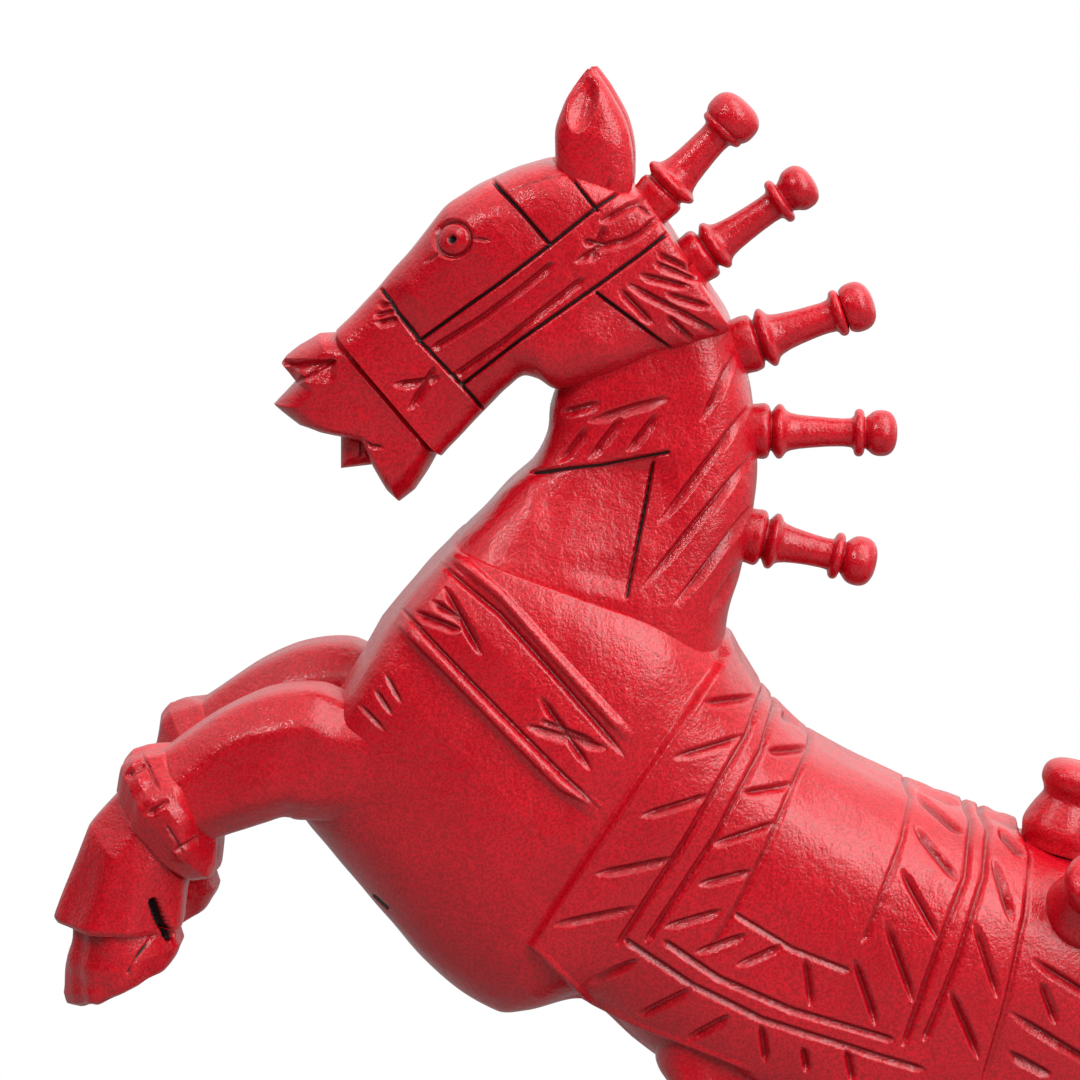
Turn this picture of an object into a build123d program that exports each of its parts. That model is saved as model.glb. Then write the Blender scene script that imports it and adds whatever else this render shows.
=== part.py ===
from build123d import *
import math
import os

# A carved and painted wooden horse, rearing on its hind legs and its tail.
# Millimetres and degrees. X runs from the muzzle to the tail, +Y is the horse's right, +Z is up.
# The ground is z = 0. Every form is a loft through sections that lie between an upper and a lower edge
# point in the plane of symmetry of that form, so one set of rows gives its whole side outline.

# Where the withers stand: the top of the back at the foot of the neck
withers_x = 18.8
withers_z = 360.0

# Trunk: a full barrel, nose up, measured along its own sloping axis
trunk_pitch_angle = -31.0
trunk_length = 308.0
trunk_depth = 150.0
trunk_width = 106.0
chest_reach = 112.3
trunk_fullness = 2.9
blanket_rise = 2.0
blanket_bevel = 1.0

# Neck: stands on the flat of the trunk
neck_seat_pitch_angle = -19.7
neck_seat_length = 104.0
neck_seat_setback = 6.0
neck_seat_rise = 4.5
neck_length = 169.0
neck_lean_angle = 102.0
neck_width = 78.0
neck_chamfer = 12.0

# Head: carved in one with the neck
head_pitch_angle = 36.2
head_length = 151.0
head_depth = 93.0
head_width = 66.0
head_chamfer = 8.0

# Ears: hollowed leaves with a round tenon
ear_height = 52.0
ear_width = 29.0
ear_thickness = 17.0
ear_lean_angle = 89.0
ear_spacing = 38.0
ear_fullness = 2.2
ear_scoop_radius = 9.0
ear_tenon_radius = 4.0
ear_tenon_length = 12.0

# Tongue: a pyramid between the lips
tongue_width = 14.0

# Legs: eight-sided in section, a collar above each two-tier hoof
leg_spacing = 57.0
leg_width = 45.0
leg_chamfer = 10.0
foreleg_reach = 100.0
foreleg_height = 118.7
right_foreleg_setback = 5.0
right_foreleg_rise = 6.0
hind_leg_span = 170.0

# Tail: the third foot of the stance
tail_sweep = 73.0
tail_width = 38.0
tail_fullness = 2.4
tail_tenon_radius = 7.0
tail_tenon_length = 20.0
tail_tenon_pitch_angle = -23.0

# Mane pegs: one turned piece each, glued in a bored socket in the crest
peg_collar_radius = 10.0
peg_collar_length = 5.0
peg_flange_radius = 10.0
peg_flange_height = 9.6
peg_shaft_length = 27.0
peg_waist_radius = 5.3
peg_ring_radius = 8.6
peg_ring_thickness = 3.2
peg_cove_radius = 5.6
peg_ball_radius = 9.0
peg_ball_length = 13.6
peg_tenon_radius = 4.0
peg_tenon_length = 14.0
peg_seat_depth = 2.2

# Croup knobs: a squashed ball on a flared foot
knob_foot_radius = 14.4
knob_foot_height = 5.0
knob_waist_radius = 9.9
knob_waist_height = 17.5
knob_ball_radius = 12.8
knob_ball_length = 13.0
knob_tenon_radius = 4.0
knob_tenon_length = 12.0
knob_seat_depth = 3.5
knob_lean_angle = 74.0
side_knob_tilt_angle = 45.0

# Dowels inside the glued joints, and the play that glue fills
dowel_radius = 5.0
dowel_length = 36.0
foreleg_dowel_shift = 4.0
glue_gap = 0.05
socket_extra_depth = 1.0

# How far a cutting block reaches past what it cuts
overrun = 60.0

# Rows filled in between two given ones, and points up a turned ball
rows_between = 2
ball_steps = 9

# Square and straight angles
square_angle = 90.0
half_turn_angle = 180.0

os.makedirs("parts", exist_ok=True)


# Points and directions in the side view

def direction(angle):
    return Vector(math.cos(math.radians(angle)), 0, math.sin(math.radians(angle)))


def side_point(origin, angle, along, across):
    """Point at a distance along an axis and across it, both in the side view."""
    return origin + direction(angle) * along + direction(angle + square_angle) * across


withers = Vector(withers_x, 0, withers_z)
chest_face = side_point(withers, trunk_pitch_angle, -chest_reach, 0)


def trunk_point(along_share, height_share):
    return side_point(chest_face, trunk_pitch_angle, trunk_length * along_share, trunk_depth * height_share)


def neck_point(along_share, out_share):
    """Point along the line from the withers to the poll, and forward of that line."""
    return side_point(withers, neck_lean_angle, neck_length * along_share, neck_length * out_share)


poll = neck_point(1, 0)


def head_point(along_share, down_share):
    """Point along the line from the poll to the lips, and down from that line."""
    return side_point(poll, half_turn_angle + head_pitch_angle, head_length * along_share, head_depth * down_share)


# Sections and solids

def oval_section(upper, lower, half_width, fullness, y_centre):
    """Closed curve between two edge points, close to |across|^n + |depth|^n = 1 with n the fullness.

    Each quarter is a cubic curve whose handles are as long as makes its middle lie on that oval."""
    middle = (upper + lower) * 0.5 + Vector(0, y_centre, 0)
    up = (upper - lower) * 0.5
    side = Vector(0, half_width, 0)
    handle_share = (8 * 2 ** (-1 / fullness) - 4) / 3
    arms = [side, up, side * -1, up * -1, side]
    quarters = []
    for arm, next_arm in zip(arms, arms[1:]):
        quarters.append(Edge.make_bezier(middle + arm, middle + arm + next_arm * handle_share,
                                         middle + next_arm + arm * handle_share, middle + next_arm))
    return Wire(quarters)


def eight_sided_section(upper, lower, half_width, chamfer, y_centre):
    """Rectangle between two edge points with its four corners cut off."""
    middle = (upper + lower) * 0.5 + Vector(0, y_centre, 0)
    reach = (upper - lower) * 0.5
    up = reach.normalized()
    most_share = 0.7
    cut = min(chamfer, most_share * reach.length, most_share * half_width)
    corners = []
    for side, end in ((1, 1), (-1, 1), (-1, -1), (1, -1)):
        corner = middle + reach * end + Vector(0, half_width * side, 0)
        inward = Vector(0, -cut * side, 0)
        down = up * (-cut * end)
        pair = [corner + down, corner + inward]
        if side * end < 0:
            pair.reverse()
        corners.extend(pair)
    return Wire.make_polygon(corners, close=True)


def filled(rows):
    """The rows with more between them, on smooth curves through the given ones."""
    values = [(upper.X, upper.Z, lower.X, lower.Z, half) for upper, lower, half in rows]
    last = len(values) - 1
    stations = [0]
    for low, high in zip(values, values[1:]):
        stations.append(stations[-1] + math.dist(low, high))
    slopes = []
    for n in range(last + 1):
        before = max(n - 1, 0)
        after = min(n + 1, last)
        run = stations[after] - stations[before]
        slopes.append([(high - low) / run for low, high in zip(values[before], values[after])])
    smooth = []
    for n in range(last):
        run = stations[n + 1] - stations[n]
        for step in range(rows_between + 1):
            t = step / (rows_between + 1)
            blend = t * t * (3 - 2 * t)
            leave = t * (1 - t) * (1 - t) * run
            arrive = t * t * (t - 1) * run
            smooth.append([low + (high - low) * blend + slope * leave + next_slope * arrive
                           for low, high, slope, next_slope in
                           zip(values[n], values[n + 1], slopes[n], slopes[n + 1])])
    smooth.append(values[last])
    return [(Vector(row[0], 0, row[1]), Vector(row[2], 0, row[3]), row[4]) for row in smooth]


def oval_loft(rows, fullness, y_centre=0):
    sections = [oval_section(upper, lower, half, fullness, y_centre) for upper, lower, half in rows]
    return Solid.make_loft(sections, ruled=True)


def eight_sided_loft(rows, chamfer, y_centre):
    sections = [eight_sided_section(upper, lower, half, chamfer, y_centre) for upper, lower, half in rows]
    return Solid.make_loft(sections, ruled=True)


def prism(points, half_width):
    """Straight block across the plane of symmetry with the given side outline."""
    wire = Wire.make_polygon([point - Vector(0, half_width, 0) for point in points], close=True)
    return extrude(Face(wire), amount=2 * half_width, dir=(0, 1, 0))


def rod(centre, axis, radius, low, high):
    """Round rod along an axis, from the distance low to the distance high past its centre."""
    return Solid.make_cylinder(radius, high - low, Plane(origin=centre + axis * low, z_dir=axis))


def dowel_and_hole(middle, axis):
    """A dowel and the bore it is glued in, which is a little wider and deeper."""
    half = dowel_length / 2
    dowel = rod(middle, axis, dowel_radius, -half, half)
    deep = half + socket_extra_depth
    return dowel, rod(middle, axis, dowel_radius + glue_gap, -deep, deep)


def turned(profile, centre, axis, level):
    """Solid turned from (radius, height) points that start and end on the axis; level lies square to it."""
    wire = Wire.make_polygon([Vector(radius, 0, height) for radius, height in profile], close=True)
    return Plane(origin=centre, x_dir=level, z_dir=axis).location * Solid.revolve(Face(wire), 2 * half_turn_angle, Axis.Z)


def ball_points(radius, half_length, height, start_angle):
    """Profile points up a half oval, from an angle above its bottom to its crown on the axis."""
    points = []
    for step in range(ball_steps):
        angle = math.radians(start_angle + (half_turn_angle - start_angle) * step / ball_steps)
        points.append((radius * math.sin(angle), height - half_length * math.cos(angle)))
    points.append((0, height + half_length))
    return points


def single(shape):
    """The one solid of a boolean's result."""
    return max(shape.solids(), key=lambda solid: solid.volume)


def mirrored(shape):
    return single(mirror(shape, about=Plane.XZ))


pieces = {}
trunk_cuts = []
head_cuts = []

# Trunk: along, upper edge, lower edge and width, in shares of its length, depth and width.
# The rows between the two edges of the saddle blanket stand out by its rise
trunk_row_shares = [
    (-0.008, -0.380, -0.580, 0.34),
    (0.000, -0.260, -0.700, 0.62),
    (0.010, -0.160, -0.820, 0.80),
    (0.032, -0.020, -0.878, 0.90),
    (0.085, 0.030, -0.918, 0.95),
    (0.180, 0.065, -0.990, 0.98),
    (0.270, 0.070, -1.044, 1.00),
    (0.345, 0.012, -1.046, 1.00),
    (0.372, -0.018, -1.008, 1.00),
    (0.425, -0.068, -0.906, 0.98),
    (0.500, -0.100, -0.926, 0.98),
    (0.620, -0.080, -0.950, 1.00),
    (0.740, -0.034, -0.955, 1.02),
    (0.800, -0.012, -0.955, 1.01),
    (0.850, 0.000, -0.945, 0.99),
    (0.920, -0.030, -0.890, 0.93),
    (0.970, -0.145, -0.790, 0.78),
    (0.997, -0.290, -0.640, 0.54),
    (1.008, -0.390, -0.540, 0.30),
]
trunk_rows = []
for along_share, upper_share, lower_share, width_share in trunk_row_shares:
    upper = trunk_point(along_share, upper_share)
    lower = trunk_point(along_share, lower_share)
    trunk_rows.append((upper, lower, width_share * trunk_width / 2))
blanket_front_count = 8
blanket_rear_count = 13
bevel = direction(trunk_pitch_angle) * blanket_bevel
rise = direction(trunk_pitch_angle + square_angle) * blanket_rise
trunk_rows = filled(trunk_rows)
first_raised = blanket_front_count * (rows_between + 1)
last_raised = blanket_rear_count * (rows_between + 1)
raised_rows = [(upper + rise, lower, half + blanket_rise)
               for upper, lower, half in trunk_rows[first_raised:last_raised + 1]]
upper, lower, half = raised_rows[0]
raised_rows[0] = (upper + bevel, lower + bevel, half)
upper, lower, half = raised_rows[-1]
raised_rows[-1] = (upper - bevel, lower - bevel, half)
trunk_rows = trunk_rows[:first_raised + 1] + raised_rows + trunk_rows[last_raised:]
trunk_block = oval_loft(trunk_rows, trunk_fullness)

# Flat on the trunk where the neck is glued, from the chest to just before the withers
seat_rear = side_point(withers, trunk_pitch_angle, -neck_seat_setback, neck_seat_rise)
seat_middle = side_point(seat_rear, neck_seat_pitch_angle, -neck_seat_length / 2, 0)
seat_front = side_point(seat_rear, neck_seat_pitch_angle, -neck_seat_length * 2, 0)
seat_back = side_point(seat_rear, neck_seat_pitch_angle, neck_seat_length, 0)
seat_normal = direction(neck_seat_pitch_angle + square_angle)
above_seat = seat_normal * overrun
trunk_cuts.append(prism([seat_front, seat_rear, seat_rear + above_seat, seat_front + above_seat], overrun))
head_cuts.append(prism([seat_front, seat_front - above_seat, seat_back - above_seat, seat_back], overrun))

# Neck: front edge and crest edge as neck points, and width
neck_row_shares = [
    (0.200, 0.600, -0.060, -0.030, 1.06),
    (0.300, 0.570, 0.010, -0.005, 1.02),
    (0.345, 0.552, 0.055, 0.022, 1.00),
    (0.405, 0.454, 0.145, -0.034, 0.92),
    (0.468, 0.367, 0.262, -0.095, 0.84),
    (0.530, 0.310, 0.390, -0.126, 0.77),
    (0.592, 0.279, 0.525, -0.137, 0.73),
    (0.665, 0.262, 0.684, -0.122, 0.70),
    (0.760, 0.220, 0.800, -0.080, 0.66),
]
neck_rows = []
for front_along, front_out, crest_along, crest_out, width_share in neck_row_shares:
    front = neck_point(front_along, front_out)
    crest = neck_point(crest_along, crest_out)
    neck_rows.append((front, crest, width_share * neck_width / 2))
neck = eight_sided_loft(filled(neck_rows), neck_chamfer, 0)

# Head: along, upper edge and lower edge as head points, and width
head_row_shares = [
    (0.000, 0.000, 0.610, 0.92),
    (0.025, -0.040, 0.612, 0.97),
    (0.070, -0.180, 0.600, 1.00),
    (0.125, -0.292, 0.585, 1.00),
    (0.260, -0.356, 0.500, 0.98),
    (0.380, -0.380, 0.430, 0.94),
    (0.440, -0.358, 0.395, 0.90),
    (0.470, -0.345, 0.330, 0.88),
    (0.510, -0.328, 0.316, 0.86),
    (0.630, -0.286, 0.312, 0.78),
    (0.760, -0.275, 0.388, 0.70),
    (0.880, -0.292, 0.425, 0.60),
    (1.000, -0.280, 0.430, 0.42),
]
head_rows = []
for along_share, upper_share, lower_share, width_share in head_row_shares:
    upper = head_point(along_share, upper_share)
    lower = head_point(along_share, lower_share)
    head_rows.append((upper, lower, width_share * head_width / 2))
head_block = eight_sided_loft(filled(head_rows), head_chamfer, 0)

# Front of the muzzle: nose, nostril notch, lip, open mouth and chin, cut straight through
muzzle_outline_shares = [
    (0.925, -0.274), (0.920, -0.174), (0.999, -0.166), (0.977, -0.054), (0.914, 0.098),
    (0.862, 0.156), (0.893, 0.256), (0.895, 0.421), (0.850, 0.600), (1.100, 0.600), (1.100, -0.600),
    (0.925, -0.600),
]
head_cuts.append(prism([head_point(along, down) for along, down in muzzle_outline_shares], overrun))

# Mane pegs stand along the crest, from the poll to the withers
crest_points = [
    poll,
    head_point(0.000, 0.190),
    head_point(0.003, 0.397),
    neck_point(0.684, -0.122),
    neck_point(0.525, -0.139),
    neck_point(0.390, -0.128),
    neck_point(0.186, -0.060),
    neck_point(0.068, 0.008),
]


def crest_point(share):
    """Point at a share of the way down the crest."""
    runs = [(crest_points[n + 1] - crest_points[n]).length for n in range(len(crest_points) - 1)]
    left = share * sum(runs)
    for run, low, high in zip(runs, crest_points, crest_points[1:]):
        if left <= run:
            return low + (high - low) * (left / run)
        left -= run
    return crest_points[-1]


# Swell of the peg's shaft above its waist: height share, then share of the way out to the flange
shaft_swell_shares = [(0.10, 0.62), (0.24, 0.36), (0.42, 0.14), (0.62, 0.00), (0.82, 0.06), (1.00, 0.22)]
flange_neck_share = 0.82
peg_ball_start_angle = 45


def peg_profile(foot_share, shaft_share, flange_share, ball_share, ball_length_share):
    """Turned outline from the seat to the crown: ribbed collar, flange, waisted shaft, ring, cove, ball."""
    collar = peg_collar_radius * flange_share
    flange = peg_flange_radius * flange_share
    bead = peg_collar_length / 3
    flange_height = peg_flange_height * foot_share
    shoulder = flange_height + bead / 2
    half_ring = peg_ring_thickness / 2
    ring_height = flange_height + peg_shaft_length * shaft_share
    waist_run = ring_height - half_ring - shoulder
    profile = [
        (0, 0),
        (collar, 0),
        (collar, peg_collar_length - bead),
        (collar - bead, peg_collar_length),
        (flange * flange_neck_share, flange_height - 2 * bead),
        (flange, flange_height - bead / 2),
        (flange, shoulder),
    ]
    for along_share, swell_share in shaft_swell_shares:
        radius = peg_waist_radius + (flange - peg_waist_radius) * swell_share
        profile.append((radius, shoulder + waist_run * along_share))
    profile.extend([
        (peg_ring_radius - half_ring / 2, ring_height - half_ring),
        (peg_ring_radius, ring_height - half_ring / 2),
        (peg_ring_radius, ring_height + half_ring / 2),
        (peg_cove_radius, ring_height + half_ring),
    ])
    ball_half = peg_ball_length * ball_length_share / 2
    ball_height = ring_height + half_ring + ball_half
    return profile + ball_points(peg_ball_radius * ball_share, ball_half, ball_height, peg_ball_start_angle)


# Crest share, rise in degrees, then shares of flange height, shaft length, flange, ball radius and ball length
mane_peg_row_shares = [
    (0.036, 46.6, 1.13, 0.97, 1.00, 1.12, 1.05),
    (0.186, 34.7, 1.34, 1.03, 0.94, 0.92, 0.94),
    (0.394, 18.6, 1.37, 0.99, 1.08, 1.00, 1.00),
    (0.578, -1.0, 1.20, 1.03, 0.99, 0.92, 0.94),
    (0.808, -12.6, 1.16, 0.89, 1.02, 1.00, 0.94),
]
for number, (crest_share, rise, *turning_shares) in enumerate(mane_peg_row_shares, 1):
    axis = direction(rise)
    seat = crest_point(crest_share) - axis * peg_seat_depth
    peg = turned(peg_profile(*turning_shares), seat, axis, Vector(0, 1, 0))
    tenon = rod(seat, axis, peg_tenon_radius, -peg_tenon_length, peg_collar_length)
    pieces["mane_peg_" + str(number)] = single(peg + tenon)
    socket_depth = peg_tenon_length + socket_extra_depth
    head_cuts.append(rod(seat, axis, peg_tenon_radius + glue_gap, -socket_depth, peg_collar_length))
    spot_radius = peg_collar_radius * turning_shares[2] + glue_gap
    head_cuts.append(rod(seat, axis, spot_radius, 0, overrun / 2))

# Neck dowels: two across the glued flat, at shares of its length from its middle
neck_dowel_shares = [-0.28, 0.22]
neck_dowels = []
for along_share in neck_dowel_shares:
    middle = side_point(seat_middle, neck_seat_pitch_angle, neck_seat_length * along_share, 0)
    dowel, hole = dowel_and_hole(middle, seat_normal)
    neck_dowels.append(dowel)
    head_cuts.append(hole)
    trunk_cuts.append(hole)
pieces["neck_dowels"] = Compound(neck_dowels)

# Ears: a leaf standing on the poll, hollowed at the outer front, with a tenon in the head.
# Rows run up from the foot: height, front edge, back edge and thickness, in shares of the ear's sizes
ear_row_shares = [
    (-0.160, 0.20, 0.30, 0.74),
    (0.000, 0.38, 0.43, 0.90),
    (0.160, 0.47, 0.45, 1.00),
    (0.340, 0.49, 0.45, 1.00),
    (0.580, 0.45, 0.35, 0.86),
    (0.740, 0.36, 0.24, 0.66),
    (0.860, 0.25, 0.11, 0.46),
    (0.945, 0.12, -0.01, 0.18),
]
ear_foot_shares = (0.099, -0.047)
scoop_up_share = 0.66
scoop_forward_share = 0.18
scoop_out_share = 0.40
scoop_reach_shares = (-0.24, 0.20)
tenon_reach_share = 0.25
ear_foot = head_point(*ear_foot_shares)
ear_axis = direction(ear_lean_angle)
ear_y = -ear_spacing / 2
ear_rows = []
for up_share, front_share, back_share, thickness_share in ear_row_shares:
    front = side_point(ear_foot, ear_lean_angle, ear_height * up_share, ear_width * front_share)
    back = side_point(ear_foot, ear_lean_angle, ear_height * up_share, -ear_width * back_share)
    ear_rows.append((front, back, thickness_share * ear_thickness / 2))
leaf = oval_loft(filled(ear_rows), ear_fullness, ear_y)
scoop_y = ear_y - ear_thickness / 2 - ear_scoop_radius * scoop_out_share
scoop_centre = side_point(ear_foot, ear_lean_angle, ear_height * scoop_up_share, ear_width * scoop_forward_share)
scoop = rod(scoop_centre + Vector(0, scoop_y, 0), ear_axis, ear_scoop_radius,
            ear_height * scoop_reach_shares[0], ear_height * scoop_reach_shares[1])
ear_root = ear_foot + Vector(0, ear_y, 0)
tenon_top = ear_height * tenon_reach_share
ear = single(leaf - [scoop, head_block])
ear = single(ear + rod(ear_root, ear_axis, ear_tenon_radius, -ear_tenon_length, tenon_top))
ear_socket_depth = ear_tenon_length + socket_extra_depth
ear_socket = rod(ear_root, ear_axis, ear_tenon_radius + glue_gap, -ear_socket_depth, tenon_top)
head_cuts.extend([ear_socket, mirrored(ear_socket)])
pieces["ear_left"] = ear
pieces["ear_right"] = mirrored(ear)

# Head and neck: one block, with its mouth, sockets and foot cut
head_and_neck = single(single(neck + head_block) - head_cuts)
pieces["head_and_neck"] = head_and_neck

# Tongue: a pointed wedge, its root let into the mouth
tongue_outline_shares = [(0.843, 0.130), (0.917, 0.088), (0.962, 0.187), (0.893, 0.258), (0.843, 0.290)]
tongue = prism([head_point(along, down) for along, down in tongue_outline_shares], tongue_width / 2)
pieces["tongue"] = single(tongue - head_and_neck)


def joined_leg(groups, place):
    """Shaft, collar, bell and hoof of the left leg, carved from one block."""
    parts = []
    for rows in groups:
        section_rows = []
        for upper_out, upper_up, lower_out, lower_up, width_share in rows:
            half = width_share * leg_width / 2
            section_rows.append((place(upper_out, upper_up), place(lower_out, lower_up), half))
        parts.append(eight_sided_loft(section_rows, leg_chamfer, -leg_spacing / 2))
    return single(parts[0] + parts[1:])


# Forelegs: forward and up from the middle of the root, in shares of reach and height.
# Each row holds its upper edge, its lower edge and its width
foreleg_root_shares = (0.0235, -0.700)
foreleg_root = trunk_point(*foreleg_root_shares)
foreleg_shaft_shares = [
    (-0.320, 0.160, -0.080, -0.310, 0.66),
    (-0.105, 0.185, 0.106, -0.176, 0.84),
    (0.015, 0.230, 0.160, -0.168, 0.93),
    (0.125, 0.229, 0.220, -0.184, 0.95),
    (0.240, 0.207, 0.285, -0.202, 0.94),
    (0.396, 0.144, 0.355, -0.221, 0.90),
    (0.590, 0.030, 0.420, -0.245, 0.88),
]
foreleg_collar_shares = [
    (0.588, 0.034, 0.410, -0.242, 1.04),
    (0.696, 0.022, 0.411, -0.300, 1.12),
    (0.730, -0.006, 0.420, -0.348, 1.12),
    (0.755, -0.096, 0.495, -0.360, 1.02),
]
foreleg_bell_shares = [
    (0.745, -0.080, 0.500, -0.350, 0.84),
    (0.860, -0.199, 0.518, -0.404, 0.96),
    (0.937, -0.365, 0.525, -0.452, 1.02),
    (0.992, -0.480, 0.533, -0.500, 1.08),
    (0.982, -0.496, 0.540, -0.514, 1.06),
]
foreleg_hoof_shares = [
    (0.922, -0.490, 0.560, -0.510, 0.90),
    (0.954, -0.634, 0.540, -0.566, 0.96),
    (0.962, -0.722, 0.572, -0.622, 0.96),
    (0.915, -0.760, 0.602, -0.640, 0.90),
]
foreleg_dowel_height_shares = [0.055, -0.095]


def foreleg_place(out_share, up_share):
    return foreleg_root + Vector(-foreleg_reach * out_share, 0, foreleg_height * up_share)


foreleg_groups = [foreleg_shaft_shares, foreleg_collar_shares, foreleg_bell_shares, foreleg_hoof_shares]
left_side = Vector(0, -leg_spacing / 2, 0)
leg_block = joined_leg(foreleg_groups, foreleg_place)
right_shift = Vector(right_foreleg_setback, 0, right_foreleg_rise)
leg_dowels = []
for side, leg, shift in (("left", leg_block, Vector(0, 0, 0)), ("right", mirrored(leg_block), right_shift)):
    leg_cuts = [trunk_block]
    for height_share in foreleg_dowel_height_shares:
        axis = direction(trunk_pitch_angle)
        middle = foreleg_place(0, height_share) + left_side + axis * foreleg_dowel_shift
        dowel, hole = dowel_and_hole(middle, axis)
        if side == "right":
            dowel = mirrored(dowel)
            hole = mirrored(hole)
        dowel = dowel.moved(Location(shift))
        hole = hole.moved(Location(shift))
        leg_dowels.append(dowel)
        leg_cuts.append(hole)
        trunk_cuts.append(hole)
    pieces["foreleg_" + side] = single(leg.moved(Location(shift)) - leg_cuts)
pieces["foreleg_dowels"] = Compound(leg_dowels)

# Hind legs: back from the toe in shares of the span, up from the ground in shares of the hip's height
hip_shares = (0.961, -0.407)
hip = trunk_point(*hip_shares)
hind_leg_shaft_shares = [
    (0.100, 1.130, 0.930, 1.060, 1.04),
    (0.095, 1.010, 0.985, 0.860, 1.04),
    (0.150, 0.955, 0.990, 0.760, 1.02),
    (0.310, 0.810, 0.955, 0.640, 0.98),
    (0.450, 0.680, 0.880, 0.530, 0.94),
    (0.490, 0.580, 0.795, 0.440, 0.92),
    (0.440, 0.480, 0.680, 0.350, 0.90),
    (0.340, 0.400, 0.540, 0.255, 0.88),
    (0.245, 0.370, 0.430, 0.215, 0.88),
]
hind_leg_collar_shares = [
    (0.255, 0.400, 0.425, 0.240, 1.04),
    (0.190, 0.410, 0.400, 0.195, 1.12),
    (0.130, 0.380, 0.340, 0.180, 1.12),
    (0.095, 0.330, 0.300, 0.210, 1.02),
]
hind_leg_bell_shares = [
    (0.100, 0.325, 0.310, 0.230, 0.84),
    (0.058, 0.272, 0.310, 0.215, 0.96),
    (0.030, 0.200, 0.312, 0.180, 1.02),
    (0.000, 0.148, 0.312, 0.148, 1.08),
    (0.007, 0.138, 0.306, 0.138, 1.06),
]
hind_leg_hoof_shares = [
    (0.042, 0.140, 0.290, 0.140, 0.90),
    (0.022, 0.068, 0.310, 0.085, 0.96),
    (0.018, 0.022, 0.292, 0.030, 0.96),
    (0.045, 0.000, 0.272, 0.000, 0.90),
]
hind_leg_dowel_shares = [(0.42, 0.835), (0.78, 0.745)]


def hind_leg_place(back_share, height_share):
    return Vector(hip.X - hind_leg_span * (1 - back_share), 0, hip.Z * height_share)


hind_leg_groups = [hind_leg_shaft_shares, hind_leg_collar_shares, hind_leg_bell_shares, hind_leg_hoof_shares]
leg_cuts = [trunk_block]
leg_dowels = []
for back_share, height_share in hind_leg_dowel_shares:
    middle = hind_leg_place(back_share, height_share) + left_side
    dowel, hole = dowel_and_hole(middle, Vector(0, 0, 1))
    leg_dowels.extend([dowel, mirrored(dowel)])
    leg_cuts.append(hole)
    trunk_cuts.extend([hole, mirrored(hole)])
pieces["hind_leg_left"] = single(joined_leg(hind_leg_groups, hind_leg_place) - leg_cuts)
pieces["hind_leg_right"] = mirrored(pieces["hind_leg_left"])
pieces["hind_leg_dowels"] = Compound(leg_dowels)

# Tail, from the ground up: outer edge then inner edge, back from the dock in shares of the sweep
# and up in shares of the dock's height, then the width
dock_shares = (0.955, -0.090)
dock = trunk_point(*dock_shares)
tail_row_shares = [
    (0.315, 0.000, -0.014, 0.000, 0.70),
    (0.448, 0.154, 0.073, 0.176, 0.84),
    (0.593, 0.343, 0.174, 0.364, 0.94),
    (0.718, 0.561, 0.268, 0.577, 1.00),
    (0.774, 0.783, 0.322, 0.787, 1.00),
    (0.748, 0.947, 0.321, 0.922, 0.97),
    (0.575, 1.052, 0.274, 0.966, 0.92),
    (0.226, 1.099, 0.212, 0.982, 0.86),
    (-0.071, 1.076, 0.071, 0.974, 0.80),
    (-0.355, 1.031, -0.193, 0.932, 0.76),
]


def tail_place(out_share, up_share):
    return Vector(dock.X + tail_sweep * out_share, 0, dock.Z * up_share)


tail_rows = []
for outer_out, outer_up, inner_out, inner_up, width_share in tail_row_shares:
    half = width_share * tail_width / 2
    tail_rows.append((tail_place(outer_out, outer_up), tail_place(inner_out, inner_up), half))
tail = single(oval_loft(filled(tail_rows), tail_fullness) - trunk_block)
tail_root_shares = (0.000, 1.020)
tail_root = tail_place(*tail_root_shares)
tail_axis = direction(tail_tenon_pitch_angle)
tail_socket_depth = tail_tenon_length + socket_extra_depth
tail_tenon_end = tail_tenon_radius
tail_tenon = rod(tail_root, tail_axis, tail_tenon_radius, -tail_tenon_length, tail_tenon_end)
pieces["tail"] = single(tail + tail_tenon)
trunk_cuts.append(rod(tail_root, tail_axis, tail_tenon_radius + glue_gap, -tail_socket_depth, tail_tenon_end))

# Croup knobs: one on the back, one on each flank
knob_bell_shares = [(0.96, 0.26), (0.86, 0.62)]
knob_ball_start_angle = 58
knob_profile = [(0, 0), (knob_foot_radius, 0), (knob_foot_radius, knob_foot_height)]
for radius_share, rise_share in knob_bell_shares:
    rise = (knob_waist_height - knob_foot_height) * rise_share
    knob_profile.append((knob_foot_radius * radius_share, knob_foot_height + rise))
knob_profile.append((knob_waist_radius, knob_waist_height))
knob_profile.extend(ball_points(knob_ball_radius, knob_ball_length / 2,
                                knob_waist_height + knob_ball_length / 2, knob_ball_start_angle))


def croup_knob(centre, axis, level):
    """A knob with its tenon; its spot face and its socket are cut in the trunk."""
    seat = centre - axis * knob_seat_depth
    trunk_cuts.append(rod(seat, axis, knob_foot_radius + glue_gap, 0, overrun / 2))
    socket_depth = knob_tenon_length + socket_extra_depth
    trunk_cuts.append(rod(seat, axis, knob_tenon_radius + glue_gap, -socket_depth, knob_foot_height))
    tenon = rod(seat, axis, knob_tenon_radius, -knob_tenon_length, knob_foot_height)
    return single(turned(knob_profile, seat, axis, level) + tenon)


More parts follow.
